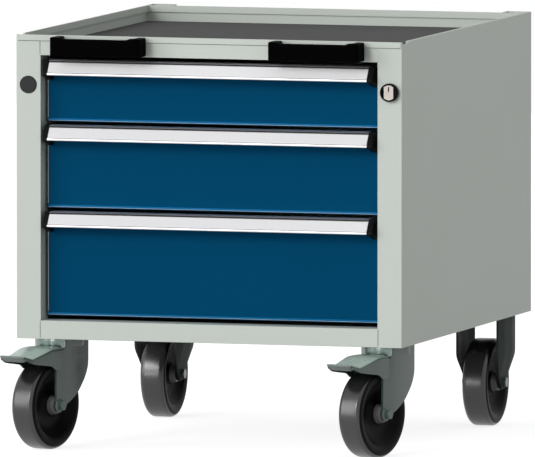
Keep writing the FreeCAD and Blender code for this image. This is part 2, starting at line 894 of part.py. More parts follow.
def label_strip(drawer):
    """Plain white strip that lies in the rail's slanted seat."""
    body = new_body(f"label_strip_{drawer}")
    profile = [
        (-0.46, -4.12),
        (-1.08, -3.7),
        (-10.32, -17.32),
        (-9.7, -17.74),
    ]
    pad(body, draw(new_sketch(body, "YZ"), profile), "2 * (opening_half - rail_side_gap) - 1",
        both=True)
    place(body, 0, "front", f"{drawer}_high")
    return keep(body, f"label_strip_{drawer}")


def end_caps(drawer):
    """Moulded caps that close the grip rail's ends."""
    body = new_body(f"end_cap_form_{drawer}")
    profile = [
        ("front_recess", -30),
        ("front_recess", 0),
        (0, 0),
        (-1.3, -2.9),
        ("0.2 - rail_reach", -18),
        ("0.2 - rail_reach", -21.6),
    ]
    pad(body, draw(new_sketch(body, "YZ", "opening_half - rail_side_gap"), profile), "cap_width")
    round_edges(body, 4, lambda edge, at: along(edge, X)
                and same(at.y, "front_recess") and same(at.z, 0))
    place(body, 0, "front", f"{drawer}_high")
    group(f"end_caps_{drawer}", [body, mirror(body, "end_cap_left")])


def runner_member(name, section):
    """One runner profile, of half the section given from the middle up, mirrored in Z."""
    body = new_body(name)
    lower = [(a, f"-({b})") for a, b in reversed(section)]
    turned = [(f"opening_half - ({a})", b) for a, b in section + lower]
    pad(body, draw(new_sketch(body, "XZ", "-runner_length"), turned), "runner_length")
    return [body, mirror(body, f"{name}_left")]


def cabinet_runner_form():
    """Outer member: a channel with lips that hold the middle member."""
    return runner_member("cabinet_runner_form", [
        (0, "outer_half"),
        (10, "outer_half"),
        (10, "inner_half - 0.3"),
        ("10 - runner_sheet", "inner_half - 0.3"),
        ("10 - runner_sheet", "outer_half - runner_sheet"),
        ("runner_sheet", "outer_half - runner_sheet"),
    ])


def middle_runner_form():
    """Middle member: a smaller channel with lips that hold the drawer's member."""
    return runner_member("middle_runner_form", [
        ("runner_sheet + runner_play", "middle_half"),
        (8.4, "middle_half"),
        (8.4, "inner_half - 1.6"),
        ("8.4 - runner_sheet", "inner_half - 1.6"),
        ("8.4 - runner_sheet", "middle_half - runner_sheet"),
        ("2 * runner_sheet + runner_play", "middle_half - runner_sheet"),
    ])


def drawer_runner_form():
    """Inner member: a channel on the drawer's side with flanged edges."""
    return runner_member("drawer_runner_form", [
        ("runner_width", "inner_half - 2"),
        (4.4, "inner_half - 2"),
        (4.4, "inner_half"),
        (3.2, "inner_half"),
        (3.2, "inner_half - 2 - runner_sheet"),
        ("runner_width - runner_sheet", "inner_half - 2 - runner_sheet"),
    ])


def runner_pair(forms, name, drawer):
    """A runner profile and its mirrored twin at a drawer's height."""
    spot = (0, "front + runner_start", f"{drawer}_low + runner_rise + outer_half")
    return [item for form in forms for item in copies(form, name, [spot])]


# Castors

def castor_plate(body):
    """Mounting plate with rounded corners and four bolt holes, under the body's floor."""
    slab(body, "-plate_width / 2", "plate_width / 2", "-plate_length / 2", "plate_length / 2",
         "plate_low", "base_low")
    round_edges(body, "plate_corner", lambda edge, at: along(edge, Z))
    holes = new_sketch(body, "XY", "base_low")
    for a in (-1, 1):
        for b in (-1, 1):
            draw_circle(holes, f"{a} * hole_pitch_wide / 2", f"{b} * hole_pitch_long / 2",
                        "bolt_diameter + 1")
    pocket(body, holes)


def swivel_plate_form():
    """Front castor plate with its ball race and the riveted kingpin."""
    body = new_body("swivel_plate_form")
    castor_plate(body)
    pad(body, draw_circle(new_sketch(body, "XY", "plate_low"), 0, 0, "race_diameter"),
        "plate_low - crown_high", back=True)
    pad(body, draw_circle(new_sketch(body, "XY", "plate_low"), 0, 0, "kingpin"),
        "plate_low - crown_low + 1", back=True)
    pad(body, draw_circle(new_sketch(body, "XY", "crown_low - play"), 0, 0, "kingpin + 12"), 4,
        back=True)
    return body


def fork(name, side):
    """Swivel fork: two legs with turned-in edges, a crown and the collar round the race."""
    body = new_body(name)
    nose = "-(swivel_offset + fork_nose)"
    legs = []
    for end in (-1, 1):
        outer = [
            ("leg_outer - 1.8", nose),
            ("leg_outer", -30),
            ("leg_outer", 11),
            ("leg_outer - 2.5", "fork_rear"),
        ]
        inner = [(f"{a} - fork_sheet", b) for a, b in reversed(outer)]
        legs.append([(f"{end} * ({a})", b) for a, b in outer + inner])
    pad(body, draw(new_sketch(body, "XY", 0), *legs), "body_low - 0.5")
    outline = [
        ("fork_rear", "body_low"),
        (-24.5, "body_low"),
        (-24.5, "crown_high - 9"),
        (nose, "crown_high - 11.5"),
        (nose, "wheel_radius - 4"),
        ("-(swivel_offset + 5)", "wheel_radius - 10"),
        ("-(swivel_offset - 2)", "wheel_radius - 10"),
        ("-(swivel_offset - 12)", "wheel_radius - 1"),
        (-10, "wheel_radius + 5"),
        (10, "wheel_radius + 16.6"),
        (20.5, "wheel_radius + 27.2"),
        (29, "wheel_radius + 36"),
        ("fork_rear - 2", "wheel_radius + 48"),
        ("fork_rear", "wheel_radius + 56"),
    ]
    trim(body, "YZ", outline)
    pad(body, draw_circle(new_sketch(body, "XY", "crown_low"), 0, 0, "collar_diameter"),
        "plate_low - play - crown_low")
    trim(body, "XY", box_corners("-leg_outer", "leg_outer", -90, 90))
    pocket(body, draw_circle(new_sketch(body, "XY", "plate_low"), 0, 0,
                             "race_diameter + 2 * play"),
           "plate_low - crown_high + 0.2")
    pocket(body, draw_circle(new_sketch(body, "XY", "plate_low"), 0, 0, "kingpin + 2 * play"))
    for end in (-1, 1):
        dimple = draw_circle(new_sketch(body, "YZ", f"{end} * fork_gap / 2"), "-swivel_offset",
                             "wheel_radius", 13)
        pad(body, dimple, "fork_gap / 2 - boss_half - play", back=end > 0)
    bore = draw_circle(new_sketch(body, "YZ"), "-swivel_offset", "wheel_radius",
                       "axle + 2 * shaft_play")
    pocket(body, bore, both=True)
    pin = draw_circle(new_sketch(body, "YZ"), "-pedal_pin_forward", "pedal_pin_height",
                      "pedal_pin")
    pad(body, pin, "2 * pedal_half - 1.6", both=True)
    place(body, f"{side} * track / 2", "front + front_castor", 0, "-swivel_turn")
    return keep(body, name)


def pedal(name, side):
    """Brake pedal: a crowned channel round the fork's nose that narrows to an upturned toe."""
    body = new_body(name)
    rear = "collar_diameter / 2 + 1.1"
    root = "swivel_offset + 22"
    toe = "swivel_offset + 69"

    def section(half, low, eave):
        """Inverted channel with a crowned roof of one slope, from its outer sizes."""
        slope = 0.375
        flat = f"0.7 * ({half})"
        inner_eave = f"({eave}) - pedal_sheet * 0.8"
        roof = f"({eave}) + {slope} * 0.3 * ({half})"
        inner_roof = f"{inner_eave} + {slope} * (0.3 * ({half}) - pedal_sheet + 1)"
        outer = [
            (f"-({half})", low),
            (f"-({half})", eave),
            (f"-{flat}", roof),
            (flat, roof),
            (half, eave),
            (half, low),
        ]
        inner = [
            (f"({half}) - pedal_sheet", low),
            (f"({half}) - pedal_sheet", inner_eave),
            (f"{flat} - 1", inner_roof),
            (f"1 - {flat}", inner_roof),
            (f"pedal_sheet - ({half})", inner_eave),
            (f"pedal_sheet - ({half})", low),
        ]
        return outer + inner

    wide = ("pedal_half", "crown_high - 31", "crown_high - 7.7")
    narrow = ("pedal_half - 4.3", "crown_high - 23.5", "crown_high - 19.5")
    loft(body, *[draw(new_sketch(body, "XZ", at), section(*sizes))
                 for at, sizes in ((rear, wide), (root, wide), (toe, narrow))])
    toe_half = "pedal_half - 8.2"
    plate = [
        ("pedal_half - 4.3", "crown_high - 20"),
        ("pedal_half - 4.3", "crown_high - 17"),
        ("4.3 - pedal_half", "crown_high - 17"),
        ("4.3 - pedal_half", "crown_high - 20"),
    ]
    tip = [
        (toe_half, "crown_high - 16"),
        (toe_half, "crown_high - 13"),
        (f"-({toe_half})", "crown_high - 13"),
        (f"-({toe_half})", "crown_high - 16"),
    ]
    loft(body, draw(new_sketch(body, "XZ", f"{toe} - 1.5"), plate),
         draw(new_sketch(body, "XZ", f"{toe} + 15.3"), tip))
    lip = [
        (toe_half, "crown_high - 16"),
        (toe_half, "crown_high - 13"),
        (f"-({toe_half})", "crown_high - 13"),
        (f"-({toe_half})", "crown_high - 16"),
    ]
    fold = [
        ("pedal_half - 12.5", "crown_high - 22.5"),
        ("pedal_half - 12.5", "crown_high - 20"),
        ("12.5 - pedal_half", "crown_high - 20"),
        ("12.5 - pedal_half", "crown_high - 22.5"),
    ]
    loft(body, draw(new_sketch(body, "XZ", f"{toe} + 15.3"), lip),
         draw(new_sketch(body, "XZ", f"{toe} + 7"), fold))
    slab(body, -13, 13, f"-({root} + 2)", f"2 - ({root})", "wheel_diameter + 0.2",
         "crown_high - 5.5")
    hole = draw_circle(new_sketch(body, "YZ"), "-pedal_pin_forward", "pedal_pin_height",
                       "pedal_pin + 2 * shaft_play")
    pocket(body, hole, "2 * pedal_half - 1.2", both=True)
    place(body, f"{side} * track / 2", "front + front_castor", 0, "-swivel_turn")
    return keep(body, name)


def bracket_form():
    """Fixed castor: plate and two pressed legs that draw together towards the axle."""
    body = new_body("bracket_form")
    castor_plate(body)
    wide = "bracket_gap / 2"
    near = "bracket_foot"
    thick = "bracket_sheet"
    top = "plate_low"
    for end in (-1, 1):
        leg = [
            (f"{end} * ({wide})", top),
            (f"{end} * ({wide} + {thick})", top),
            (f"{end} * ({wide} + {thick})", "wheel_radius + 41"),
            (f"{end} * ({near} + {thick})", "wheel_radius + 9"),
            (f"{end} * ({near} + {thick})", 0),
            (f"{end} * ({near})", 0),
            (f"{end} * ({near})", "wheel_radius + 9"),
            (f"{end} * ({wide})", "wheel_radius + 41"),
        ]
        pad(body, draw(new_sketch(body, "XZ"), leg), 120, both=True)
    outline = [
        ("-plate_length", top),
        ("-bracket_deep", top),
        ("-bracket_deep", "wheel_radius + 42"),
        ("1 - bracket_deep", "wheel_radius + 36"),
        (-28, "wheel_radius + 16"),
        (-19, "wheel_radius + 2"),
        (-9, "wheel_radius - 9"),
        (9, "wheel_radius - 9"),
        (19, "wheel_radius + 2"),
        (28, "wheel_radius + 16"),
        ("bracket_deep - 1", "wheel_radius + 36"),
        ("bracket_deep", "wheel_radius + 42"),
        ("bracket_deep", top),
        ("plate_length", top),
        ("plate_length", "base_low + 10"),
        ("-plate_length", "base_low + 10"),
    ]
    trim(body, "YZ", outline)
    for end in (-1, 1):
        dimple = draw_circle(new_sketch(body, "YZ", f"{end} * {near}"), 0, "wheel_radius", 20)
        pad(body, dimple, f"{near} - boss_half - play", back=end > 0)
    bore = draw_circle(new_sketch(body, "YZ"), 0, "wheel_radius", "axle + 2 * shaft_play")
    pocket(body, bore, both=True)
    return body


def tyre_form():
    """Rubber tyre with rounded shoulders, turned about its own X axis."""
    body = new_body("tyre_form")
    half = "wheel_width / 2"
    right = [
        (f"{half} - 3", "rim_radius"),
        (half, "wheel_radius - 6"),
        (f"{half} - 1.8", "wheel_radius - 1.8"),
        (f"{half} - 6", "wheel_radius"),
    ]
    left = [(f"-({a})", b) for a, b in reversed(right)]
    revolve(body, draw(new_sketch(body, "XZ"), right + left))
    return body


def hub_form():
    """Wheel centre: rim, thin web and a long boss with the axle's bore."""
    body = new_body("hub_form")
    half = "wheel_width / 2"
    right = [
        ("boss_half", "axle / 2 + shaft_play"),
        ("boss_half", 12),
        (5, "rim_radius - 13"),
        (f"{half} - 3", "rim_radius"),
    ]
    left = [(f"-({a})", b) for a, b in reversed(right)]
    revolve(body, draw(new_sketch(body, "XZ"), right + left))
    return body


def axle_form(name, outer):
    """Axle bolt through both legs, with its head and nut against their outer faces."""
    body = new_body(name)
    pad(body, draw_circle(new_sketch(body, "YZ", f"-({outer} + 7)"), 0, 0, "axle"),
        f"2 * ({outer}) + 12")
    for lift, thick in ((outer, 5), (f"-({outer}) - 6.5", 6.5)):
        across = "axle * 1.625"
        corner = f"({across}) / sqrt(3)"
        hexagon = [
            (f"({corner}) * cos({60 * k})", f"({corner}) * sin({60 * k})")
            for k in range(6)
        ]
        pad(body, draw(new_sketch(body, "YZ", lift), hexagon), thick)
    return body


def wheel_spot(side, row):
    """Centre of a wheel and its turn about the vertical."""
    if row == "rear":
        return f"{side} * track / 2", "front + rear_castor", None
    x = f"{side} * track / 2 - swivel_offset * sin(swivel_turn)"
    y = "front + front_castor - swivel_offset * cos(swivel_turn)"
    return x, y, "-swivel_turn"


def put_on_axle(form, label, side, row):
    """A linked copy of a wheel's piece at the wheel's centre."""
    x, y, turn = wheel_spot(side, row)
    link = doc.addObject("App::Link", label)
    link.LinkedObject = form
    return place(link, x, y, "wheel_radius", turn)


def castor_bolts():
    """Hexagon bolts through plate and floor, each with its nut on top."""
    body = new_body("castor_bolt_form")
    corner = "bolt_diameter * 1.625 / sqrt(3)"
    hexagon = [(f"{corner} * cos({60 * k})", f"{corner} * sin({60 * k})") for k in range(6)]
    pad(body, draw(new_sketch(body, "XY"), hexagon), 5.3, back=True)
    shank = [(f"bolt_diameter / 2 * cos({45 * k})", f"bolt_diameter / 2 * sin({45 * k})")
             for k in range(8)]
    pad(body, draw(new_sketch(body, "XY"), shank), "plate_sheet + base_sheet + 1")
    pad(body, draw(new_sketch(body, "XY", "plate_sheet + base_sheet"), hexagon), 6.5)
    places = [(x, y, "plate_low") for x, y in bolt_places()]
    group("castor_bolts", copies(body, "castor_bolt", places))


# Assembly

side_panel("side_panel_left", -1)
side_panel("side_panel_right", 1)
back_panel()
base_plate()
top_tray()
top_mat()
top_rail()
bottom_rail()
runner_uprights()
handles()
handle_screws()
blind_plug()
lock_housing()
lock_cylinder()
lock_cam()
locking_bar()
bar_guides()

outer_forms = cabinet_runner_form()
middle_forms = middle_runner_form()
inner_forms = drawer_runner_form()
fixed_runners = []
for drawer in DRAWERS:
    drawer_box(drawer)
    drawer_frame(drawer)
    drawer_front(drawer)
    grip_rail(drawer)
    label_strip(drawer)
    end_caps(drawer)
    fixed_runners += runner_pair(outer_forms, "cabinet_runner", drawer)
    group(f"middle_runners_{drawer}", runner_pair(middle_forms, "middle_runner", drawer))
    group(f"drawer_runners_{drawer}", runner_pair(inner_forms, "drawer_runner", drawer))
group("cabinet_runners", fixed_runners)

tyre = tyre_form()
hub = hub_form()
front_axle = axle_form("front_axle_form", "leg_outer + 0.05")
rear_axle = axle_form("rear_axle_form", "bracket_foot + bracket_sheet + 0.05")
for side, word in ((-1, "left"), (1, "right")):
    fork(f"fork_front_{word}", side)
    pedal(f"pedal_front_{word}", side)
    keep(put_on_axle(front_axle, f"axle_front_{word}", side, "front"), f"axle_front_{word}")
    for row in ("front", "rear"):
        keep(put_on_axle(tyre, f"tyre_{row}_{word}", side, row), f"tyre_{row}_{word}")
        keep(put_on_axle(hub, f"hub_{row}_{word}", side, row), f"hub_{row}_{word}")
group("axles_rear", [put_on_axle(rear_axle, "axle_rear", side, "rear") for side in (-1, 1)])
for form, label, row in ((swivel_plate_form(), "swivel_plates", "front_castor"),
                         (bracket_form(), "fixed_brackets", "rear_castor")):
    spots = [(f"{side} * track / 2", f"front + {row}", 0) for side in (-1, 1)]
    group(label, copies(form, label[:-1], spots))
castor_bolts()

doc.recompute()

# Checks before anything is written
for item in doc.Objects:
    if "Invalid" in item.State or "Error" in item.State:
        raise ValueError(f"{item.Name} of {item.Label} failed: {item.State}")
    if item.TypeId == "PartDesign::Pocket":
        before = item.BaseFeature.Shape.Volume
        if before - item.Shape.Volume < 0.01:
            raise ValueError(f"{item.Name} cut nothing")
for item in nodes:
    shape = item.Shape
    if shape.isNull() or not shape.isValid() or not shape.Solids:
        raise ValueError(f"{item.Label} is not a valid solid")

os.makedirs("parts", exist_ok=True)
for item in nodes:
    item.Shape.exportStep(f"parts/{item.Label}.step")
print(len(nodes), "pieces written")
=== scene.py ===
"""Mobile drawer cabinet: finishes, moulded and pressed detail, camera and soft studio.

Lengths are in metres, with the floor at Z = 0 and the drawer fronts towards -Y. The sections
and stations of all pieces but the wheels are in millimetres, up to the factor 0.001 where each
piece is placed.
"""

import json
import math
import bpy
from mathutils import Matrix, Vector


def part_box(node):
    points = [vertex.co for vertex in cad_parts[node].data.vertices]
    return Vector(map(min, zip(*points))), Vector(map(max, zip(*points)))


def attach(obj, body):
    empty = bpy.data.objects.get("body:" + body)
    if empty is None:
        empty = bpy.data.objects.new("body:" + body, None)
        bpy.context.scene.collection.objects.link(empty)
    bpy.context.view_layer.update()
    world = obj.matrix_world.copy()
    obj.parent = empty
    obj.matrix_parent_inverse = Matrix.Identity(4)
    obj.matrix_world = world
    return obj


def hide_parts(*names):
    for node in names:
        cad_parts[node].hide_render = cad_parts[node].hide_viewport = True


bl_info = {
    "name": "Mobile drawer cabinet",
    "version": (1, 0, 0),
    "blender": (4, 5, 0),
    "location": "View3D > Sidebar > Cabinet",
    "description": "Builds the finishes and the fine detail of a drawer cabinet on castors",
    "category": "Object",
}

import bmesh
import bpy
import numpy as np
from bpy.props import FloatProperty, FloatVectorProperty, IntProperty, PointerProperty
from mathutils import Vector

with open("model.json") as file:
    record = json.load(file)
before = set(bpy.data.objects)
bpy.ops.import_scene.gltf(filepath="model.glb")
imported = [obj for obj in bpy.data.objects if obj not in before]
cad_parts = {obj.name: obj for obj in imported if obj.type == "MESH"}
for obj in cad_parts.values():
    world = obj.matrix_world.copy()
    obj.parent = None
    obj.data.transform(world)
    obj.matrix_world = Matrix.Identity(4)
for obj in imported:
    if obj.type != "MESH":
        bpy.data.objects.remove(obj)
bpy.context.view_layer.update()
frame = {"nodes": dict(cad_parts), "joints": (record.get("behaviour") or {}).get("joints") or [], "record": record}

DRAWERS = ("top", "middle", "bottom")
SIDES = ("left", "right")
WHEEL_RADIUS = 0.0625
TREAD_HALF = 0.0185
AXLE_HEIGHT = 1000 * WHEEL_RADIUS

# Thickness of the pressed sheets, in millimetres.
FORK_SHEET, PEDAL_SHEET, BRACKET_SHEET = 3.5, 2.0, 3.0


# Settings, and what several of them share

COLOUR = {"subtype": "COLOR", "size": 3, "min": 0, "max": 1}
LAMP_PLACE = {"description": "Direction from the cabinet to the lamp",
              "subtype": "DIRECTION", "size": 3}
LAMP_SIZE = {"description": "Angle that the lamp takes up", "subtype": "ANGLE"}


class CabinetSizes(bpy.types.PropertyGroup):
    """Sizes of the details that are built here."""

    shoulder: FloatProperty(
        name="Tyre shoulder", description="Rounding between tread and side wall",
        default=0.0082, unit="LENGTH")
    wheel_steps: IntProperty(
        name="Wheel steps", description="Divisions round a wheel", default=128, min=16)
    grip_rounding: FloatProperty(
        name="Grip rounding", description="Rounding along a handle's edges",
        default=0.0024, unit="LENGTH")
    fold: FloatProperty(
        name="Fold", description="Outer radius of the fold under a drawer's front",
        default=0.0058, unit="LENGTH")
    leg_crease: FloatProperty(
        name="Leg crease", description="How far a fork leg's front strip is bent inwards",
        default=0.0015, unit="LENGTH")
    sheet_edge: FloatProperty(
        name="Sheet edge", description="Rounding of the castors' cut edges",
        default=0.0007, unit="LENGTH")
    pedal_shoulder: FloatProperty(
        name="Pedal shoulder", description="Rounding between a pedal's roof and its sides",
        default=0.005, unit="LENGTH")


class CabinetColours(bpy.types.PropertyGroup):
    """Colours of the finishes, as they would be mixed; the pedals' sheen is a painted reflection and the brackets'
    zinc is darkened as painted shade.
    """

    housing: FloatVectorProperty(
        name="Housing", description="Light grey powder coat",
        default=(0.57, 0.615, 0.568), **COLOUR)
    blue: FloatVectorProperty(
        name="Drawer fronts", description="Blue powder coat",
        default=(0.0, 0.06, 0.142), **COLOUR)
    box: FloatVectorProperty(
        name="Drawer boxes", description="Light grey coat of the boxes",
        default=(0.56, 0.6, 0.58), **COLOUR)
    mat: FloatVectorProperty(
        name="Mat", description="Dark grey rubber",
        default=(0.08, 0.08, 0.081), **COLOUR)
    castor: FloatVectorProperty(
        name="Castors", description="Passivated zinc of forks and pedals",
        default=(0.075, 0.112, 0.098), **COLOUR)
    # Painted reflection: the lighter colour put on the pedals' upward faces.
    sheen_colour: FloatVectorProperty(
        name="Painted zinc sheen", description="Painted sheen on the pedals' upward faces",
        default=(0.43, 0.55, 0.495), **COLOUR)
    # Painted shade: the castor zinc made darker for the fixed castors under the cabinet.
    bracket: FloatVectorProperty(
        name="Brackets", description="Zinc of the fixed castors, darkened as painted shade",
        default=(0.046, 0.057, 0.053), **COLOUR)
    tyre: FloatVectorProperty(
        name="Tyres", description="Solid tread",
        default=(0.012, 0.0118, 0.012), **COLOUR)


class CabinetStudio(bpy.types.PropertyGroup):
    """Camera, lamps and floor."""

    azimuth: FloatProperty(
        name="Azimuth", description="Camera's place round the cabinet, from its front",
        default=math.radians(16.886), subtype="ANGLE")
    elevation: FloatProperty(
        name="Elevation", description="Camera's angle above the level",
        default=math.radians(4.609), subtype="ANGLE")
    distance: FloatProperty(
        name="Distance", description="From the camera to the cabinet", default=29.514,
        unit="LENGTH")
    lens: FloatProperty(
        name="Lens", description="Focal length in millimetres", default=1400.0)
    target: FloatVectorProperty(
        name="Target", description="Point in the middle of the picture", subtype="XYZ",
        size=3, default=(-0.01239, 0.029, 0.29424))
    ambient: FloatProperty(
        name="Ambient", description="Light from all round", default=0.48)
    key: FloatProperty(
        name="Key lamp", description="Strength of the large lamp before the cabinet",
        default=1.0)
    key_place: FloatVectorProperty(
        name="Key lamp's place", default=(-0.317, -0.871, 0.375),
        **LAMP_PLACE)
    key_size: FloatProperty(
        name="Key lamp's size", default=math.radians(20), **LAMP_SIZE)
    fill: FloatProperty(
        name="Fill lamp", description="Strength of the wide lamp to the left", default=0.82)
    fill_place: FloatVectorProperty(
        name="Fill lamp's place", default=(-0.765, -0.597, 0.242),
        **LAMP_PLACE)
    fill_size: FloatProperty(
        name="Fill lamp's size", default=math.radians(30), **LAMP_SIZE)
    low: FloatProperty(
        name="Low lamp", description="Strength of the small lamp level with the castors",
        default=0.36)
    low_place: FloatVectorProperty(
        name="Low lamp's place", default=(-0.325, -0.945, 0.017),
        **LAMP_PLACE)
    low_size: FloatProperty(
        name="Low lamp's size", default=math.radians(12), **LAMP_SIZE)
    rim: FloatProperty(
        name="Rim lamp", description="Strength of the weak lamp behind to the right",
        default=0.035)
    rim_place: FloatVectorProperty(
        name="Rim lamp's place", default=(0.786, 0.614, 0.06),
        **LAMP_PLACE)
    rim_size: FloatProperty(
        name="Rim lamp's size", default=math.radians(18), **LAMP_SIZE)


# Surfaces


def arc_corners(corners, radii, steps=5):
    """Closed outline with its corners rounded.

    Each corner C becomes a bend that leaves the side before it at A and joins the side after it
    at B, both a radius away from C or nearly half the shorter side if that is less, and follows
    (1-t)^2 A + 2t(1-t) C + t^2 B.
    """
    c = np.asarray(corners, float)
    before = np.roll(c, 1, 0) - c
    after = np.roll(c, -1, 0) - c
    length_before = np.linalg.norm(before, axis=1)
    length_after = np.linalg.norm(after, axis=1)
    room = 0.48 * np.minimum(length_before, length_after)
    reach = np.minimum(np.broadcast_to(radii, room.shape), room)
    a = c + before / length_before[:, None] * reach[:, None]
    b = c + after / length_after[:, None] * reach[:, None]
    t = np.linspace(0, 1, steps)[None, :, None]
    points = (1 - t) ** 2 * a[:, None] + 2 * t * (1 - t) * c[:, None] + t**2 * b[:, None]
    return points.reshape(-1, 2)


def grid_faces(rows, columns, wrap_rows=False, wrap_columns=False):
    """Quads between neighbouring points of a grid counted row by row."""
    i = np.arange(rows if wrap_rows else rows - 1)
    j = np.arange(columns if wrap_columns else columns - 1)
    i, j = np.meshgrid(i, j, indexing="ij")
    i2, j2 = (i + 1) % rows, (j + 1) % columns
    quads = np.stack([i * columns + j, i * columns + j2, i2 * columns + j2, i2 * columns + j], -1)
    return quads.reshape(-1, 4).tolist()


def bends(corners, shares, steps=6):
    """Open run of corners, (count, ...), with each inner corner C replaced by a bend.

    The bend leaves the side before it at A and joins the side after it at B, the given shares
    of those sides away from C, and follows (1-t)^2 A + 2t(1-t) C + t^2 B.
    """
    c = np.asarray(corners, float)
    wide = (slice(None),) + (None,) * (c.ndim - 1)
    a = c[1:-1] + (c[:-2] - c[1:-1]) * np.asarray(shares[0], float)[wide]
    b = c[1:-1] + (c[2:] - c[1:-1]) * np.asarray(shares[1], float)[wide]
    t = np.linspace(0, 1, steps)[(None, slice(None)) + (None,) * (c.ndim - 1)]
    arcs = (1 - t) ** 2 * a[:, None] + 2 * t * (1 - t) * c[1:-1][:, None] + t**2 * b[:, None]
    return np.concatenate([c[:1], arcs.reshape(-1, *c.shape[1:]), c[-1:]])


def eased(corners, reach, steps=6):
    """Open run of points of any dimension with its corners eased: bends that reach a length
    along each side, measured in all the dimensions, or nearly half the side if that is less."""
    c = np.asarray(corners, float)
    sides = np.maximum(np.linalg.norm(np.diff(c, axis=0), axis=1), 1e-9)
    wish = np.broadcast_to(reach, (len(c),))[1:-1]
    run = bends(c, (np.minimum(wish / sides[:-1], 0.49), np.minimum(wish / sides[1:], 0.49)),
                steps)
    fresh = np.linalg.norm(np.diff(run, axis=0), axis=1) > 1e-6
    return run[np.concatenate([[True], fresh])]


def shell(outer, thick):
    """A sheet from a grid of points: the grid, its copy moved back by thick along the grid's
    unit normal dv x du, and a strip round the rim that joins them."""
    normal = np.cross(np.gradient(outer, axis=1), np.gradient(outer, axis=0))
    normal /= np.maximum(np.linalg.norm(normal, axis=2, keepdims=True), 1e-12)
    rows, columns = outer.shape[:2]
    count = rows * columns
    front = np.array(grid_faces(rows, columns))
    rim = np.concatenate([
        np.arange(columns), np.arange(1, rows) * columns + columns - 1,
        (rows - 1) * columns + np.arange(columns - 2, -1, -1),
        np.arange(rows - 2, 0, -1) * columns])
    after = np.roll(rim, -1)
    strip = np.stack([after, rim, rim + count, after + count], -1)
    points = np.concatenate([outer.reshape(-1, 3), (outer - thick * normal).reshape(-1, 3)])
    return points, np.concatenate([front, front[:, ::-1] + count, strip]).tolist()


def lofted(rings):
    """Closed rings, (rows, around, 3), joined row to row, with the two end rings filled."""
    rows, around = rings.shape[:2]
    faces = grid_faces(rows, around, wrap_columns=True)
    faces += [list(range(around))[::-1], list(range((rows - 1) * around, rows * around))]
    return rings.reshape(-1, 3), faces


def joined(*forms):
    """Several (points, faces) forms as one."""
    points, faces, start = [], [], 0
    for part_points, part_faces in forms:
        points.append(np.asarray(part_points, float).reshape(-1, 3))
        faces += [[start + k for k in face] for face in part_faces]
        start += len(points[-1])
    return np.concatenate(points), faces


def piece(name, points, faces, material, body, nodes=(), sharp=35, edge=0.0):
    """A finished piece: a mesh at the origin that rides on a body and stands for CAD nodes.

    Where edge is given, a live bevel of that width rounds the sharp edges.
    """
    mesh = bpy.data.meshes.new(name)
    mesh.from_pydata(np.asarray(points, float).tolist(), [], faces)
    mesh.validate()
    work = bmesh.new()
    work.from_mesh(mesh)
    bmesh.ops.recalc_face_normals(work, faces=work.faces)
    work.to_mesh(mesh)
    work.free()
    mesh.materials.append(material)
    mesh.shade_smooth()
    mesh.set_sharp_from_angle(angle=math.radians(sharp))
    item = bpy.data.objects.new(name, mesh)
    bpy.context.collection.objects.link(item)
    if edge:
        bevel = item.modifiers.new("Edges", "BEVEL")
        bevel.width = edge
        bevel.segments = 2
        bevel.limit_method = "ANGLE"
        bevel.angle_limit = math.radians(40)
        bevel.harden_normals = True
    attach(item, body)
    if nodes:
        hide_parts(*nodes)
    return item


def second_finish(item, material, chosen):
    """Put another material on the faces that chosen(centres, normals) picks."""
    count = len(item.data.polygons)
    centres, normals = np.empty(3 * count), np.empty(3 * count)
    item.data.polygons.foreach_get("center", centres)
    item.data.polygons.foreach_get("normal", normals)
    picked = chosen(centres.reshape(-1, 3), normals.reshape(-1, 3))
    index = np.zeros(count, np.int32)
    item.data.polygons.foreach_get("material_index", index)
    index[picked] = len(item.data.materials)
    item.data.materials.append(material)
    item.data.polygons.foreach_set("material_index", index)


def prism(outline, low, high):
    """An outline in Y and Z carried along X from low to high, with closed ends."""
    outline = np.asarray(outline, float)
    count = len(outline)
    points = np.concatenate(
        [np.column_stack([np.full(count, x), outline]) for x in (low, high)])
    faces = grid_faces(2, count, wrap_columns=True)
    faces += [list(range(count))[::-1], list(range(count, 2 * count))]
    return points, faces


def turned(profile, steps, centre, axis, across):
    """Closed profile of (along the axis, radius) turned round an axis.

    point = centre + along * axis + radius * (cos(angle) * up + sin(angle) * across).
    """
    profile = np.asarray(profile, float)
    angle = np.linspace(0, 2 * math.pi, steps, endpoint=False)
    axis = np.asarray(axis, float)
    across = np.asarray(across, float)
    up = np.cross(across, axis)
    ring = np.cos(angle)[:, None] * up + np.sin(angle)[:, None] * across
    points = (np.asarray(centre, float) + profile[None, :, 0, None] * axis
              + profile[None, :, 1, None] * ring[:, None, :])
    return points.reshape(-1, 3), grid_faces(steps, len(profile), True, True)


# Finishes


def new_group(name, inputs, outputs):
    """An empty shader node group with named sockets."""
    group = bpy.data.node_groups.new(name, "ShaderNodeTree")
    for label, kind, default in inputs:
        socket = group.interface.new_socket(label, in_out="INPUT", socket_type=kind)
        socket.default_value = default
    for label, kind in outputs:
        group.interface.new_socket(label, in_out="OUTPUT", socket_type=kind)
    return group, group.nodes.new("NodeGroupInput"), group.nodes.new("NodeGroupOutput")


def feed(tree, value, socket):
    """Give an input socket a number, or link an output socket to it."""
    if isinstance(value, (int, float)):
        socket.default_value = value
    else:
        tree.links.new(value, socket)


def maths(tree, operation, first, second):
    """A Math node fed by sockets or numbers."""
    node = tree.nodes.new("ShaderNodeMath")
    node.operation = operation
    feed(tree, first, node.inputs[0])
    feed(tree, second, node.inputs[1])
    return node.outputs[0]


def swayed(tree, middle, factor, amount):
    """middle + amount * (factor - 0.5), for a factor that runs from 0 to 1."""
    return maths(tree, "ADD", middle,
                 maths(tree, "MULTIPLY", maths(tree, "SUBTRACT", factor, 0.5), amount))


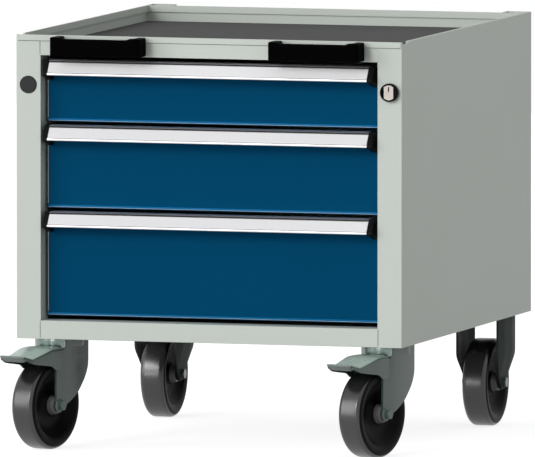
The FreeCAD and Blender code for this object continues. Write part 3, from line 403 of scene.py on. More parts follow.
def noise(tree, vector, scale, detail=3.0, rough=0.55):
    """A Noise Texture's factor on a vector."""
    node = tree.nodes.new("ShaderNodeTexNoise")
    node.inputs["Detail"].default_value = detail
    node.inputs["Roughness"].default_value = rough
    feed(tree, scale, node.inputs["Scale"])
    feed(tree, vector, node.inputs["Vector"])
    return node.outputs["Fac"]


def scaled(tree, operation, vector, by):
    """A vector or colour scaled by a number, or multiplied by another vector."""
    node = tree.nodes.new("ShaderNodeVectorMath")
    node.operation = operation
    feed(tree, vector, node.inputs[0])
    feed(tree, by, node.inputs["Scale" if operation == "SCALE" else 1])
    return node.outputs[0]


def tinted(tree, colour, factor, amount):
    """colour * (1 + amount * (factor - 0.5)): a gentle change of tone over the surface."""
    return scaled(tree, "SCALE", colour, swayed(tree, 1.0, factor, amount))


def object_place(tree):
    """A point's coordinates on its own object."""
    return tree.nodes.new("ShaderNodeTexCoord").outputs["Object"]


def seen_straight(tree):
    """1 for rays from the camera and for mirrored and refracted ones, otherwise 0."""
    path = tree.nodes.new("ShaderNodeLightPath").outputs
    return maths(tree, "MAXIMUM", path["Is Camera Ray"],
                 maths(tree, "MAXIMUM", path["Is Glossy Ray"], path["Is Transmission Ray"]))


def surface_group(name, inputs):
    """A group that puts out a finish's colour, gloss and height, from a colour and a gloss to
    start with and the given inputs."""
    return new_group(
        name,
        [("Color", "NodeSocketColor", (0.5, 0.5, 0.5, 1)),
         ("Roughness", "NodeSocketFloat", 0.45), *inputs],
        [("Color", "NodeSocketColor"), ("Roughness", "NodeSocketFloat"),
         ("Height", "NodeSocketFloat")])


def put_out(group, end, colour, gloss, height):
    """Link a surface group's three outputs."""
    feed(group, colour, end.inputs["Color"])
    feed(group, gloss, end.inputs["Roughness"])
    feed(group, height, end.inputs["Height"])
    return group


def coat_group():
    """Powder coat: fine orange peel, a slow change of tone, and a gloss that varies with it."""
    group, start, end = surface_group(
        "Powder coat", [("Peel", "NodeSocketFloat", 700.0), ("Tone", "NodeSocketFloat", 0.03)])
    given, place = start.outputs, object_place(group)
    peel = noise(group, place, given["Peel"], 2.0, 0.5)
    slow = noise(group, place, 6.0, 4.0)
    return put_out(group, end, tinted(group, given["Color"], slow, given["Tone"]),
                   swayed(group, given["Roughness"], slow, 0.12), peel)


def metal_group():
    """Rolled or drawn metal: streaks along one axis, blotches of the plating over them."""
    group, start, end = surface_group(
        "Worked metal", [("Stretch", "NodeSocketVector", (4.0, 260.0, 260.0)),
                         ("Streak", "NodeSocketFloat", 0.12),
                         ("Blotch", "NodeSocketFloat", 0.12)])
    given, place = start.outputs, object_place(group)
    streak = noise(group, scaled(group, "MULTIPLY", place, given["Stretch"]), 1.0, 4.0, 0.6)
    blotch = noise(group, place, 45.0, 4.0, 0.6)
    colour = tinted(group, given["Color"], streak, given["Streak"])
    return put_out(group, end, tinted(group, colour, blotch, given["Blotch"]),
                   swayed(group, given["Roughness"], blotch, 0.25), streak)


def mould_group():
    """Moulded plastic or rubber: a fine grain, with a faint bloom in large soft patches."""
    group, start, end = surface_group(
        "Moulded grain", [("Grain", "NodeSocketFloat", 1400.0),
                          ("Bloom", "NodeSocketFloat", 0.15)])
    given, place = start.outputs, object_place(group)
    grain = noise(group, place, given["Grain"], 3.0, 0.5)
    patch = noise(group, place, 18.0, 3.0)
    return put_out(group, end, tinted(group, given["Color"], patch, given["Bloom"]),
                   swayed(group, given["Roughness"], patch, 0.2), grain)


def painted_sheen_group():
    """Painted reflection: a lighter colour on faces that look up, less in blotches.

    It begins where the normal's rise is 0.72 and is full at 0.95.
    """
    group, start, end = new_group(
        "Rubbed top",
        [("Color", "NodeSocketColor", (0.1, 0.1, 0.1, 1)),
         ("Rubbed", "NodeSocketColor", (0.4, 0.4, 0.4, 1))],
        [("Color", "NodeSocketColor")])
    parts = group.nodes.new("ShaderNodeSeparateXYZ")
    feed(group, group.nodes.new("ShaderNodeNewGeometry").outputs["Normal"], parts.inputs[0])
    rise = group.nodes.new("ShaderNodeMapRange")
    rise.interpolation_type = "SMOOTHSTEP"
    rise.inputs["From Min"].default_value = 0.72
    rise.inputs["From Max"].default_value = 0.95
    feed(group, parts.outputs["Z"], rise.inputs["Value"])
    patch = swayed(group, 1.0, noise(group, object_place(group), 30.0), 0.3)
    mix = group.nodes.new("ShaderNodeMix")
    mix.data_type = "RGBA"
    mix.clamp_factor = True
    feed(group, maths(group, "MULTIPLY", rise.outputs["Result"], patch), mix.inputs["Factor"])
    feed(group, start.outputs["Color"], mix.inputs["A"])
    feed(group, start.outputs["Rubbed"], mix.inputs["B"])
    feed(group, mix.outputs["Result"], end.inputs["Color"])
    return group


def new_material(name):
    """An empty material, its node tree and its shader."""
    material = bpy.data.materials.new(name)
    material.use_nodes = True
    return material, material.node_tree, material.node_tree.nodes["Principled BSDF"]


def finish(name, group, colour, depth, metallic=0.0, specular=0.5, over=None, sheen_colour=None,
           **values):
    """A material from a surface group: its colour, gloss and height drive the shader.

    depth is the height of the relief in metres, and values are the group's own inputs. Where
    over is given, that group first mixes in the sheen colour, which is a painted reflection.
    """
    material, tree, shader = new_material(name)
    shader.inputs["Metallic"].default_value = metallic
    shader.inputs["Specular IOR Level"].default_value = specular
    node = tree.nodes.new("ShaderNodeGroup")
    node.node_tree = group
    node.inputs["Color"].default_value = (*colour, 1.0)
    for label, value in values.items():
        node.inputs[label].default_value = value
    if over:
        top = tree.nodes.new("ShaderNodeGroup")
        top.node_tree = over
        top.inputs["Color"].default_value = (*colour, 1.0)
        top.inputs["Rubbed"].default_value = (*sheen_colour, 1.0)
        feed(tree, top.outputs["Color"], node.inputs["Color"])
    bump = tree.nodes.new("ShaderNodeBump")
    bump.inputs["Strength"].default_value = 1.0
    bump.inputs["Distance"].default_value = depth
    feed(tree, node.outputs["Color"], shader.inputs["Base Color"])
    feed(tree, node.outputs["Roughness"], shader.inputs["Roughness"])
    feed(tree, node.outputs["Height"], bump.inputs["Height"])
    feed(tree, bump.outputs["Normal"], shader.inputs["Normal"])
    return material


FINISHES = {}


class CABINET_OT_finishes(bpy.types.Operator):
    """Make the finishes and put them on the carried-over pieces."""

    bl_idname = "cabinet.finishes"
    bl_label = "Finishes"

    def execute(self, context):
        colours = context.scene.cabinet_colours
        coat, metal, mould = coat_group(), metal_group(), mould_group()
        # Drawn metal has its streaks along X, and plated metal has none but is a little cloudy.
        drawn = {"Stretch": (3.0, 900.0, 900.0), "Streak": 0.12, "Blotch": 0.04}
        plated = {"Stretch": (90.0, 90.0, 90.0), "Streak": 0.04}
        FINISHES.update(
            cabinet_paint=finish(
                "Housing coat", coat, colours.housing, 0.00003, specular=0.3, Peel=900.0,
                Tone=0.03, Roughness=0.5),
            drawer_blue=finish(
                "Blue coat", coat, colours.blue, 0.00002, specular=0.01, Peel=1100.0, Tone=0.05,
                Roughness=0.42),
            # A lighter blue for the fold: a painted highlight on the bend.
            fold_blue=finish(
                "Blue coat on the fold", coat, (0.004, 0.15, 0.36), 0.00002, specular=0.1,
                Peel=1100.0, Tone=0.05, Roughness=0.42),
            # Dark joints between sheets, also used for a painted shadow under the lip.
            seam_shade=finish(
                "Joint between sheets", coat, (0.16, 0.175, 0.165), 0.00003, specular=0.1,
                Peel=900.0, Tone=0.1, Roughness=0.6),
            drawer_grey=finish(
                "Box coat", coat, colours.box, 0.00003, specular=0.3, Peel=900.0, Tone=0.04,
                Roughness=0.5),
            rail_aluminium=finish(
                "Satin aluminium", metal, (0.78, 0.78, 0.8), 0.00001, metallic=1.0,
                Roughness=0.36, **drawn),
            # A darker copy of the rail aluminium for the lip: painted shade.
            rail_lip=finish(
                "Lip aluminium", metal, (0.56, 0.56, 0.58), 0.00001, metallic=1.0,
                Roughness=0.4, **drawn),
            rail_bead=finish(
                "Shaded bead", metal, (0.07, 0.07, 0.075), 0.00001, metallic=0.3, Roughness=0.4,
                **drawn),
            label_white=finish(
                "White strip", mould, (0.8, 0.8, 0.81), 0.00001, specular=0.3, Grain=900.0,
                Bloom=0.02, Roughness=0.4),
            cap_black=finish(
                "Cap plastic", mould, (0.004, 0.004, 0.0043), 0.00003, specular=0.06,
                Grain=1600.0, Bloom=0.1, Roughness=0.45),
            handle_black=finish(
                "Handle plastic", mould, (0.0012, 0.0012, 0.0013), 0.00004, specular=0.005,
                Grain=1300.0, Bloom=0.1, Roughness=0.5),
            mat_rubber=finish(
                "Mat rubber", mould, colours.mat, 0.0001, specular=0.1, Grain=500.0, Bloom=0.1,
                Roughness=0.8),
            zinc=finish(
                "Bright zinc", metal, (0.62, 0.64, 0.65), 0.00001, metallic=1.0,
                Stretch=(60.0, 60.0, 60.0), Streak=0.1, Blotch=0.15, Roughness=0.34),
            castor_zinc=finish(
                "Passivated zinc", metal, colours.castor, 0.00002, Blotch=0.05, Roughness=0.25,
                **plated),
            # Glossier zinc for the cup's round front; its lighter colour is a painted highlight.
            collar_zinc=finish(
                "Burnished zinc", metal, (0.21, 0.275, 0.248), 0.00001, metallic=0.65,
                specular=1.0, Blotch=0.05, Roughness=0.27, **plated),
            # The pedals' upward faces get a lighter colour: a painted reflection.
            pedal_zinc=finish(
                "Zinc rubbed bright on top", metal, colours.castor, 0.00002, over=painted_sheen_group(),
                sheen_colour=colours.sheen_colour, Blotch=0.06, Roughness=0.28, **plated),
            # The brackets' zinc is darker than the castors': painted shade.
            bracket_zinc=finish(
                "Zinc of the brackets", metal, colours.bracket, 0.00002, specular=0.01,
                Blotch=0.06, Roughness=0.45, **plated),
            tyre_rubber=finish(
                "Tread", mould, colours.tyre, 0.00002, specular=0.75, Grain=900.0, Bloom=0.12,
                Roughness=0.27),
            # The wheel centre's own black, also put on the tyre's sides as painted shade.
            hub_plastic=finish(
                "Wheel centre", mould, (0.003, 0.003, 0.0032), 0.00003, specular=0.06,
                Grain=900.0, Bloom=0.1, Roughness=0.45),
            # A lighter copy of the hub plastic for the boss: a painted highlight.
            boss_plastic=finish(
                "Wheel boss", mould, (0.17, 0.17, 0.171), 0.00003, specular=0.3, Grain=900.0,
                Bloom=0.1, Roughness=0.4),
            lock_nickel=finish(
                "Nickel", metal, (0.33, 0.3, 0.275), 0.00001, metallic=0.7,
                Stretch=(500.0, 500.0, 500.0), Streak=0.15, Blotch=0.15, Roughness=0.4),
            plug_plastic=finish(
                "Plug plastic", mould, (0.033, 0.034, 0.034), 0.00002, specular=0.08,
                Grain=1500.0, Bloom=0.1, Roughness=0.45))
        for part in frame["record"]["subparts"]:
            item = frame["nodes"][part["node"]]
            item.data.materials.clear()
            item.data.materials.append(FINISHES[part["material_slot"]])
        for node in ("axles_rear", "axle_front_left", "axle_front_right"):
            frame["nodes"][node].data.materials[0] = FINISHES["castor_zinc"]
        return {"FINISHED"}


class CABINET_OT_wheels(bpy.types.Operator):
    """Build the four wheels: tyre with round shoulders and a dished centre."""

    bl_idname = "cabinet.wheels"
    bl_label = "Wheels"

    def execute(self, context):
        sizes = context.scene.cabinet_sizes
        steps = sizes.wheel_steps
        # A quarter circle from the tread to the side, whose points are
        # (half - shoulder * (1 - sin(a)), radius - shoulder * (1 - cos(a))), and then the side
        # in to the hub.
        a = np.linspace(0, math.pi / 2, 14)
        right = np.concatenate([
            np.column_stack([TREAD_HALF - sizes.shoulder * (1 - np.sin(a)),
                             WHEEL_RADIUS - sizes.shoulder * (1 - np.cos(a))]),
            [(0.0182, 0.0515), (0.0175, 0.0488), (0.0162, 0.0461)]])
        tyre = np.concatenate([right, (right * (-1, 1))[::-1]])
        # Half the hub's section, from the boss through the dish to the tyre.
        half = eased([(0.0199, 0.0041), (0.0199, 0.0118), (0.0085, 0.0148), (0.0052, 0.0215),
                      (0.0052, 0.031), (0.0088, 0.0385), (0.0162, 0.0462)],
                     [0, 0.001, 0.003, 0.003, 0.006, 0.006, 0], 9)
        hub = np.concatenate([half, (half * (-1, 1))[::-1]])
        boss_radius = 0.0135
        for word in SIDES:
            for row in ("front", "rear"):
                body = f"wheel_{row}_{word}"
                joint = joint_of(body)
                centre, axis = joint["pos_m"], np.array(joint["axis"], float)
                across = np.cross((0.0, 0.0, 1.0), axis)
                points, faces = turned(tyre, steps, centre, axis, across)
                item = piece(f"tread_{row}_{word}", points, faces, FINISHES["tyre_rubber"],
                             body, [f"tyre_{row}_{word}"], 50)
                # The tyre's sides get the darker, duller centre plastic: painted shade.
                second_finish(item, FINISHES["hub_plastic"],
                              lambda at, way: np.abs(way @ axis) > 0.8)
                points, faces = turned(hub, steps, centre, axis, across)
                item = piece(f"centre_{row}_{word}", points, faces, FINISHES["hub_plastic"],
                             body, [f"hub_{row}_{word}"], 50)
                # The boss gets the lighter plastic: a painted highlight.
                second_finish(item, FINISHES["boss_plastic"], lambda at, way: (
                    np.linalg.norm(np.cross(at - centre, axis), axis=1) < boss_radius))
        return {"FINISHED"}


def joint_of(body):
    """The joint that a body moves on."""
    return next(joint for joint in frame["joints"] if joint["child"] == body)


def at_castor(points, word):
    """Points in millimetres from a front castor's own frame to the cabinet's, in metres.

    point = foot + x * sideways + y * backward + z * up, with the foot of the swivel axis and
    sideways along the wheel's axle.
    """
    pivot = joint_of(f"castor_{word}")["pos_m"]
    sideways = np.array(joint_of(f"wheel_front_{word}")["axis"], float)
    sideways *= np.sign(sideways[0])
    backward = np.cross((0.0, 0.0, 1.0), sideways)
    turn = np.stack([sideways, backward, (0.0, 0.0, 1.0)])
    return (pivot[0], pivot[1], 0.0) + 0.001 * np.asarray(points) @ turn


def disc(across, low, high, y, z, steps=24):
    """A round bar along X: circles of the given diameter at low and high, with filled ends."""
    angle = np.linspace(0, 2 * math.pi, steps, endpoint=False)
    ring = np.column_stack([y + across / 2 * np.cos(angle), z + across / 2 * np.sin(angle)])
    return lofted(np.stack([np.column_stack([np.full(steps, x), ring]) for x in (low, high)]))


def pressed(y, knots):
    """How far a pressed leg stands out at y, 0 at its widest: the running sum of a slope that
    goes in straight lines through the knots, pairs of y and slope."""
    fine = np.linspace(knots[0][0], knots[-1][0], 400)
    slope = np.interp(fine, *zip(*knots))
    out = np.cumsum(slope) * (fine[1] - fine[0])
    return np.interp(y, fine, out - out.max())


def fork_leg(end, crease):
    """One leg of a fork, end being -1 or 1 for its side: a grid over (z, s) with
    y = front(z) + s * (rear(z) - front(z)) and x = end * (25.85 + pressed(y)). The front strip
    slopes inwards by the crease over its 15 mm, and the rest is gently domed."""
    front = eased([(52.3, -38.2), (52.6, -41), (58.5, -43), (138.5, -43), (141, -24.5),
                   (157.5, -24.5)], [0, 2.5, 5, 1.5, 0.8, 0])
    rear = eased([(52.3, -36.8), (52.6, -34.3), (61.5, -24), (67.5, -10), (79.1, 10),
                  (89.7, 20.5), (98.5, 29), (110.5, 36), (120, 38), (157.5, 38)],
                 [0, 2, 6, 8, 8, 6, 6, 6, 6, 0])
    level = np.unique(np.round(np.concatenate([front[:, 0], rear[:, 0]]), 1))
    near = np.interp(level, front[:, 0], front[:, 1])[:, None]
    far = np.interp(level, rear[:, 0], rear[:, 1])[:, None]
    y = near + (far - near) * np.linspace(0, 1, 28)
    x = 25.85 + pressed(y, [(-43, crease / 15), (-28, crease / 15), (-23, 0.07), (-12, 0),
                            (12, -0.06), (38, -0.09)])
    grid = np.stack([end * x, y, np.broadcast_to(level[:, None], y.shape)], -1)
    return shell(grid if end > 0 else grid[:, ::-1], FORK_SHEET)


def fork_drum():
    """The fork's bearing cup: a closed profile of (share, radius, height) carried round the
    swivel axis, where a point's distance from the axis is share * R(angle) + radius and
    R(angle) = (34.9^-24 + (26 / |cos(angle)|)^-24)^(-1/24), a circle cut flat at both legs.
    Where it is round the wall leans in by 0.8 mm over its height."""
    profile = np.array([
        (0, 6.3, 142), (1, -2.4, 142), (1, -0.7, 142.7), (1, 0, 144.4), (1, 0, 161.4),
        (1, -0.6, 163.1), (1, -2.2, 163.7), (0, 24.3, 163.7), (0, 24.3, 149.8), (0, 6.3, 149.8)])
    angle = np.linspace(0, 2 * math.pi, 120, endpoint=False)[:, None]
    cut = 26 / np.maximum(np.abs(np.cos(angle)), 1e-3)
    reach = (34.9**-24.0 + cut**-24.0) ** (-1 / 24)
    lean = profile[:, 0] * np.clip((profile[:, 2] - 144.4) / 17, 0, 1.1)
    radius = profile[:, 0] * reach + profile[:, 1] - 0.8 * lean * (reach / 34.9) ** 24
    height = np.broadcast_to(profile[:, 2], radius.shape)
    points = np.stack([radius * np.cos(angle), radius * np.sin(angle), height], -1)
    return points.reshape(-1, 3), grid_faces(len(angle), len(profile), True, True)


class CABINET_OT_forks(bpy.types.Operator):
    """Build the two swivel forks: bearing cup, pressed legs with a crease, and pedal pin.

    The front of the cup, where it is round, gets a glossier zinc whose lighter colour is a painted highlight.
    """

    bl_idname = "cabinet.forks"
    bl_label = "Forks"

    def execute(self, context):
        sizes = context.scene.cabinet_sizes
        crease = 1000 * sizes.leg_crease
        # Rings pressed into and out of each leg round the axle: place along it, and radius.
        dimple = np.array([(22.4, 4.1), (20.2, 4.1), (20.2, 5.8), (20.9, 6.8), (22.4, 7.6)])
        seat = np.array([(23.4, 4.1), (25.9, 4.1), (25.9, 7.6), (25.3, 8.6), (23.4, 9.6)])
        pedal_pin = disc(5, -27.4, 27.4, -40, 134)
        parts = [fork_leg(-1, crease), fork_leg(1, crease), fork_drum(), pedal_pin]
        for end in (-1, 1):
            for ring in (dimple, seat):
                parts.append(turned(ring * (end, 1), 32, (0, -36, AXLE_HEIGHT), (1, 0, 0),
                                    (0, 1, 0)))
        points, faces = joined(*parts)
        for word in SIDES:
            item = piece(f"fork_{word}", at_castor(points, word), faces,
                         FINISHES["castor_zinc"], f"castor_{word}", [f"fork_front_{word}"], 30,
                         sizes.sheet_edge)
            # The swivel axis, and points 1 m beside it and 1 m behind it.
            axis, beside, behind = at_castor(1000 * np.eye(4, 3, -1), word)[:3, :2]

            # Faces of the cup's round front, which get the painted highlight.
            def painted_highlight_faces(at, way):
                level = at[:, :2] - axis
                return ((at[:, 2] > 0.1418) & (np.hypot(*level.T) > 0.0262)
                        & (np.abs(level @ (beside - axis)) < 0.0248)
                        & (level @ (behind - axis) < 0))

            second_finish(item, FINISHES["collar_zinc"], painted_highlight_faces)
        return {"FINISHED"}


class CABINET_OT_pedals(bpy.types.Operator):
    """Build the two brake pedals: a crowned channel that runs out into a turned-under toe."""

    bl_idname = "cabinet.pedals"
    bl_label = "Pedals"

    def execute(self, context):
        sizes = context.scene.cabinet_sizes
        # Along the pedal: forward place and height of the roof's middle, half the width, depth
        # of the sides, drop of the shoulders, and the section's lean in degrees. A section's
        # point lies at (x, middle - depth * normal), the normal leaning forward from upright.
        track = eased([
            (36, 145.5, 28.3, 33.3, 3.2, 0), (51, 145.5, 28.3, 32.5, 3.2, 0),
            (60, 145.2, 28.1, 26.0, 3.2, 0), (92, 137.0, 25.4, 13.6, 2.9, 0),
            (103, 134.1, 24.3, 9.0, 2.6, 0), (108, 134.2, 23.4, 6.8, 1.2, 0),
            (116.5, 136.2, 21.3, 5.6, 0.8, 0), (120.3, 137.4, 20.4, 1.6, 0.6, 10),
            (121.2, 134.6, 20.3, 1.5, 0.6, 95), (112, 127.7, 16.4, 1.2, 0.5, 143)],
            [0, 2, 4, 6, 4, 3, 1.5, 1.2, 1.6, 0])
        forward, height, half, deep, eave, lean = track.T
        across = np.stack([half, half, 0.7 * half, -0.7 * half, -half, -half], -1)
        down = np.stack([deep, eave, 0 * eave, 0 * eave, eave, deep], -1)
        reach = 1000 * sizes.pedal_shoulder
        share = np.array([reach / 30, 0.49, 0.49, reach / 30])
        section = bends(np.stack([across, down], -1).transpose(1, 0, 2),
                        (share, share[::-1]), 7).transpose(1, 0, 2)
        lean = np.radians(lean)[:, None]
        grid = np.stack([
            section[:, :, 0],
            section[:, :, 1] * np.sin(lean) - forward[:, None],
            height[:, None] - section[:, :, 1] * np.cos(lean)], -1)
        # A cross web under the roof: its section, carried from -13 to 13.
        web = lofted(np.array([[(x, y, z) for y, z in
                                ((-60, 125.2), (-56, 125.2), (-56, 143.6), (-60, 143.3))]
                               for x in (-13, 13)], float))
        points, faces = joined(shell(grid, PEDAL_SHEET), web)
        for word in SIDES:
            piece(f"pedal_{word}", at_castor(points, word), faces, FINISHES["pedal_zinc"],
                  f"pedal_{word}", [f"pedal_front_{word}"], 40, sizes.sheet_edge)
        return {"FINISHED"}


class CABINET_OT_brackets(bpy.types.Operator):
    """Build the two fixed castors' brackets: legs that draw in towards the axle, on a plate."""

    bl_idname = "cabinet.brackets"
    bl_label = "Brackets"

    def execute(self, context):
        # A leg is a grid over (z, s): y = s * deep(z), s from -1 to 1, and
        # x = outer(z) + pressed(y), with a strip along either edge that slopes inwards. The
        # plate lies on top, and a dimple is pressed into each leg round the axle.
        deep = eased([(53.3, 3), (53.6, 8.5), (64.5, 19), (78.5, 28), (98.5, 42.3),
                      (105, 43.5), (164, 43.5)], [0, 4, 6, 8, 5, 4, 0])
        outer = eased([(53.3, 26.5), (71.5, 26.5), (101.5, 34), (164, 34)], [0, 7, 6, 0])
        level = np.unique(np.round(np.concatenate([deep[:, 0], outer[:, 0],
                                                   np.linspace(110, 164, 9)]), 1))
        y = np.interp(level, deep[:, 0], deep[:, 1])[:, None] * np.linspace(-1, 1, 33)
        x = np.interp(level, outer[:, 0], outer[:, 1])[:, None] + pressed(y, [
            (-43.5, 0.11), (-22, 0.11), (-16, 0), (16, 0), (22, -0.11), (43.5, -0.11)])
        height = np.broadcast_to(level[:, None], y.shape)
        corner = arc_corners([(-40, -52.5), (40, -52.5), (40, 52.5), (-40, 52.5)], 10, 7)
        plate = np.stack([np.column_stack([corner, np.full(len(corner), z)])
                          for z in (164.0, 166.5)])
        dimple = np.array([(23.7, 4.1), (20.2, 4.1), (20.2, 8.6), (21.2, 10.2), (23.7, 11.4)])
        parts = [lofted(plate)]
        for end in (-1, 1):
            grid = np.stack([end * x, y, height], -1)
            parts.append(shell(grid if end > 0 else grid[:, ::-1], BRACKET_SHEET))
            parts.append(turned(dimple * (end, 1), 36, (0, 0, AXLE_HEIGHT), (1, 0, 0),
                                (0, 1, 0)))
        points, faces = joined(*parts)
        both = []
        for word in SIDES:
            centre = joint_of(f"wheel_rear_{word}")["pos_m"]
            both.append(((centre[0], centre[1], 0.0) + 0.001 * points, faces))
        points, faces = joined(*both)
        piece("rear_brackets", points, faces, FINISHES["bracket_zinc"], "cabinet",
              ["fixed_brackets"], 30, context.scene.cabinet_sizes.sheet_edge)
        return {"FINISHED"}


class CABINET_OT_handles(bpy.types.Operator):
    """Build the two bow handles: rounded arms, raised ends and a lower grip between them."""

    bl_idname = "cabinet.handles"
    bl_label = "Handles"

    def execute(self, context):
        # Stations: outer and inner point in plan, and the top's height. A station's section is
        # a rectangle between them with its corners rounded by quadratic bends.
        half = [(-66, 0, -54, 0, 19), (-66, -1.3, -54, -1.3, 19), (-66, -1.4, -54, -1.4, 26.5),
                (-66, -34, -54, -24, 26.5), (-56, -34, -49.5, -24, 26.5),
                (-49.5, -34, -44, -24, 24.3)]
        run = np.array(half + [(-a, b, -c, d, e) for a, b, c, d, e in reversed(half)])
        run = eased(run, [0, 0, 0, 7, 3, 3, 3, 3, 7, 0, 0, 0], 8)
        outer, inner, top = run[:, None, 0:2], run[:, None, 2:4], run[:, None, 4]
        width = np.linalg.norm(inner - outer, axis=2)
        r = 1000 * context.scene.cabinet_sizes.grip_rounding
        t = np.linspace(0, 1, 6)
        back, onward = r * (1 - t) ** 2, r * t**2
        corner = np.repeat([(0, 0), (0, 1), (1, 1), (1, 0)], len(t), axis=0)
        shift = np.concatenate([
            np.column_stack([back, onward]), np.column_stack([onward, -back]),
            np.column_stack([-back, -onward]), np.column_stack([-onward, back])])
        part = corner[:, 0] + shift[:, 0] / width
        plan = outer + (inner - outer) * part[:, :, None]
        rise = corner[:, 1] * top + shift[:, 1]
        rings = np.concatenate([plan, rise[:, :, None]], axis=2)
        low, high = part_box("handles")
        half_length = 0.066
        points, faces = lofted(rings)
        both = joined(*[((x, high[1], low[2]) + 0.001 * points, faces)
                        for x in (low[0] + half_length, high[0] - half_length)])
        piece("bow_handles", *both, FINISHES["handle_black"], "cabinet", ["handles"], 50)
        return {"FINISHED"}


class CABINET_OT_fronts(bpy.types.Operator):
    """Build the drawers' blue fronts: a sheet whose lower edge is folded back."""

    bl_idname = "cabinet.fronts"
    bl_label = "Drawer fronts"

    def execute(self, context):
        fold = 1000 * context.scene.cabinet_sizes.fold
        # The sheet's thickness, and how much narrower it is above the fold on either side.
        sheet, step = 1.2, 1.6
        for drawer in DRAWERS:
            low, high = (1000 * np.array(v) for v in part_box(f"drawer_front_{drawer}"))
            # Down the sheet, round the fold and back: y and z, then half the width.
            run = eased([(low[1], high[2]), (low[1], low[2]), (high[1], low[2])],
                        [0, fold, 0], 9)
            notch = [(low[1], low[2] + fold + 0.1)]
            run = np.concatenate([run[:1], notch, run[1:]])
            wide = np.where(run[:, 1] > low[2] + fold + 0.05, high[0] - step, high[0])
            x = wide[:, None] * np.linspace(1, -1, 9)
            grid = np.stack([x, np.broadcast_to(run[:, :1], x.shape),
                             np.broadcast_to(run[:, 1:], x.shape)], -1)
            points, faces = shell(grid, sheet)
            item = piece(f"front_{drawer}", 0.001 * points, faces, FINISHES["drawer_blue"],
                         f"drawer_{drawer}", [f"drawer_front_{drawer}"], 35)
            # The fold below this height gets the lighter blue: a painted highlight.
            edge = 0.001 * (low[2] + 0.8 * fold)
            second_finish(item, FINISHES["fold_blue"], lambda at, way: at[:, 2] < edge)
        return {"FINISHED"}


class CABINET_OT_rails(bpy.types.Operator):
    """Build the drawers' drawn grip rails and the moulded caps at their ends."""

    bl_idname = "cabinet.rails"
    bl_label = "Grip rails"

    def execute(self, context):
        # Section in Y and Z, from the drawer's front plane and its top.
        rail = arc_corners([
            (0, -0.5), (0.5, 0), (18.8, 0), (18.8, -17), (17, -17), (17, -1.8), (3.2, -1.8),
            (1.2, -4.6), (-8.3, -18.6), (-9.6, -21), (-11.0, -21.2), (-11.7, -20.4),
            (-11.7, -18.2), (-10.7, -17.4), (-9.84, -17.95), (-0.34, -3.95), (-0.9, -3.1),
            (0.6, -3.0), (1.6, -2.2), (0, -1.8)],
            [0.5, 0.5, 0.4, 0.3, 0.3, 0.3, 0.8, 0.8, 1.5, 0.8, 0.8, 0.9, 0.9, 0.5, 0.1, 0.1,
             0.3, 0.3, 0.3, 0.5], 4)
        cap_half, cap_edge = 3.6, 0.0011
        cap = arc_corners([(0.4, 0), (-1.3, -2.9), (-11.5, -18), (-11.5, -21.6), (18.8, -30),
                           (18.8, 0)], [3, 3, 1.5, 1.5, 1.5, 3.5], 6)
        for drawer in DRAWERS:
            low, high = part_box(f"grip_rail_{drawer}")
            shift = (1000 * low[1] + 11.6, 1000 * high[2])
            end = 1000 * high[0]
            points, faces = prism(rail + shift, -end, end)
            item = piece(f"rail_{drawer}", 0.001 * points, faces, FINISHES["rail_aluminium"],
                         f"drawer_{drawer}", [f"grip_rail_{drawer}"], 25)
            top, plane = high[2], 0.001 * shift[0]
            # The bead is along the top edge, and the lip is what lies below the label seat; the lip's darker
            # aluminium is painted shade.
            second_finish(item, FINISHES["rail_bead"], lambda at, way: (
                (at[:, 2] > top - 0.0034) & (at[:, 1] < plane + 0.0015)))
            second_finish(item, FINISHES["rail_lip"], lambda at, way: at[:, 2] < top - 0.0172)
            caps = [prism(cap + shift, middle - cap_half, middle + cap_half)
                    for middle in (-end - cap_half, end + cap_half)]
            points, faces = joined(*caps)
            piece(f"caps_{drawer}", 0.001 * points, faces, FINISHES["cap_black"],
                  f"drawer_{drawer}", [f"end_caps_{drawer}"], 35, cap_edge)
        return {"FINISHED"}


class CABINET_OT_seams(bpy.types.Operator):
    """Build the dark joint lines where the front rails meet the posts, and a painted shadow line under the lip."""

    bl_idname = "cabinet.seams"
    bl_label = "Joint lines"

    def execute(self, context):
        # A line is a flat strip across X or Z that stands 0.15 mm before the sheet: its left
        # and right end, its plane, and its bottom and top. The top rail's face reaches from
        # roof up to brow, where the lip begins.
        rail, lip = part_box("bottom_rail"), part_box("top_rail")
        plane, wide = 1000 * rail[0][1], 1000 * rail[1][0]
        low, sill = 1000 * rail[0][2] + 1.5, 1000 * rail[1][2] - 1
        roof, brow = 558.5, 578.6
        # The strip just under the lip is a painted shadow; the others are the dark joints between rails and posts.
        strips = [(-1000 * lip[1][0] + 1, 1000 * lip[1][0] - 1, plane, brow - 0.5, brow + 0.4)]
        for x in (0.8 - wide, wide - 0.8):
            strips.append((x - 0.35, x + 0.35, plane, low, sill))
        strips.append((0.45 - wide, 1.15 - wide, plane, roof + 1, brow - 0.6))
        forms = []
        for left, right, y, bottom, top in strips:
            ring = np.array([(y + 0.3, bottom), (y - 0.15, bottom), (y - 0.15, top),
                             (y + 0.3, top)])
            forms.append(prism(ring, left, right))
        points, faces = joined(*forms)
        piece("joint_lines", 0.001 * points, faces, FINISHES["seam_shade"], "cabinet")
        return {"FINISHED"}


def set_surroundings(scene, ambient):
    """White all round for what the camera sees, dimmer for the light that falls on things."""
    world = bpy.data.worlds.new("Studio")
    scene.world = world
    world.use_nodes = True
    tree = world.node_tree
    back = tree.nodes["Background"]
    mix = tree.nodes.new("ShaderNodeMix")
    mix.data_type = "RGBA"
    mix.inputs["A"].default_value = (ambient, ambient, ambient, 1.0)
    mix.inputs["B"].default_value = (1.0, 1.0, 1.0, 1.0)
    feed(tree, seen_straight(tree), mix.inputs["Factor"])
    feed(tree, mix.outputs["Result"], back.inputs["Color"])
    back.inputs["Strength"].default_value = 1.0


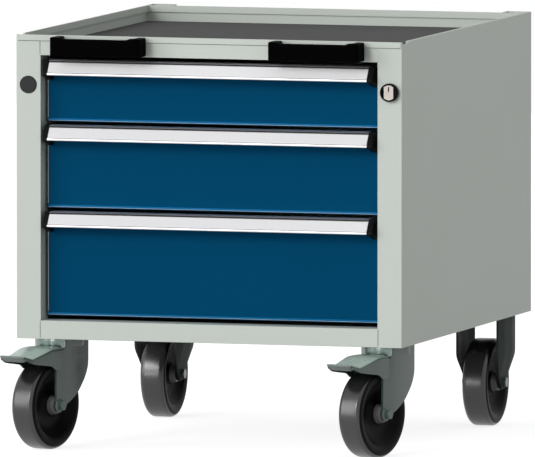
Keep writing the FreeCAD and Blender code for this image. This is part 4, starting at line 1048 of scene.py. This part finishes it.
def aimed(item, away):
    """Turn a lamp or camera to look along -away."""
    item.rotation_mode = "QUATERNION"
    item.rotation_quaternion = away.to_track_quat("Z", "Y")


def add_lamp(scene, name, energy, size, place):
    """A lamp that shines from a direction, its light as soft as its size."""
    lamp = bpy.data.lights.new(name, "SUN")
    lamp.energy = energy
    lamp.angle = size
    item = bpy.data.objects.new(name, lamp)
    towards = Vector(place).normalized()
    aimed(item, towards)
    item.location = towards * 3
    scene.collection.objects.link(item)


def add_floor(scene, reach=6.0):
    """A pale square that takes shadows and looks nearly white."""
    mesh = bpy.data.meshes.new("floor")
    mesh.from_pydata([(-reach, -reach, 0), (reach, -reach, 0), (reach, reach, 0),
                      (-reach, reach, 0)], [], [(0, 1, 2, 3)])
    floor = bpy.data.objects.new("floor", mesh)
    scene.collection.objects.link(floor)
    pale, tree, shader = new_material("Pale floor")
    shader.inputs["Base Color"].default_value = (0.5, 0.5, 0.5, 1)
    shader.inputs["Roughness"].default_value = 0.9
    shader.inputs["Specular IOR Level"].default_value = 0.0
    shader.inputs["Emission Color"].default_value = (1, 1, 1, 1)
    feed(tree, maths(tree, "MULTIPLY", seen_straight(tree), 0.8),
         shader.inputs["Emission Strength"])
    mesh.materials.append(pale)


def add_camera(scene, studio):
    """The camera, far off with a long lens."""
    camera = bpy.data.cameras.new("camera")
    camera.lens = studio.lens
    camera.sensor_width = 36.0
    camera.clip_start, camera.clip_end = 1.0, 60.0
    item = bpy.data.objects.new("camera", camera)
    a, e = studio.azimuth, studio.elevation
    away = Vector((math.sin(a) * math.cos(e), -math.cos(a) * math.cos(e), math.sin(e)))
    item.location = Vector(studio.target) + away * studio.distance
    aimed(item, away)
    scene.collection.objects.link(item)
    scene.camera = item


class CABINET_OT_stage(bpy.types.Operator):
    """Set up the floor, the soft light and the camera."""

    bl_idname = "cabinet.stage"
    bl_label = "Stage"

    def execute(self, context):
        scene = context.scene
        studio = scene.cabinet_studio
        scene.view_settings.view_transform = "Standard"
        set_surroundings(scene, studio.ambient)
        for name in ("key", "fill", "low", "rim"):
            add_lamp(scene, name, getattr(studio, name), getattr(studio, f"{name}_size"),
                     getattr(studio, f"{name}_place"))
        add_floor(scene)
        add_camera(scene, studio)
        return {"FINISHED"}


class CABINET_PT_panel(bpy.types.Panel):
    """Steps that build the cabinet."""

    bl_label = "Cabinet"
    bl_space_type = "VIEW_3D"
    bl_region_type = "UI"
    bl_category = "Cabinet"

    def draw(self, context):
        for step in STEPS:
            self.layout.operator(step.bl_idname)


STEPS = (
    CABINET_OT_finishes,
    CABINET_OT_fronts,
    CABINET_OT_rails,
    CABINET_OT_handles,
    CABINET_OT_forks,
    CABINET_OT_pedals,
    CABINET_OT_brackets,
    CABINET_OT_wheels,
    CABINET_OT_seams,
    CABINET_OT_stage,
)
CLASSES = (CabinetSizes, CabinetColours, CabinetStudio, *STEPS, CABINET_PT_panel)


def register():
    for item in CLASSES:
        bpy.utils.register_class(item)
    bpy.types.Scene.cabinet_sizes = PointerProperty(type=CabinetSizes)
    bpy.types.Scene.cabinet_colours = PointerProperty(type=CabinetColours)
    bpy.types.Scene.cabinet_studio = PointerProperty(type=CabinetStudio)


def unregister():
    del bpy.types.Scene.cabinet_studio
    del bpy.types.Scene.cabinet_colours
    del bpy.types.Scene.cabinet_sizes
    for item in reversed(CLASSES):
        bpy.utils.unregister_class(item)


def main():
    """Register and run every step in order."""
    register()
    for step in STEPS:
        family, name = step.bl_idname.split(".")
        getattr(getattr(bpy.ops, family), name)()


if __name__ == "__main__":
    main()
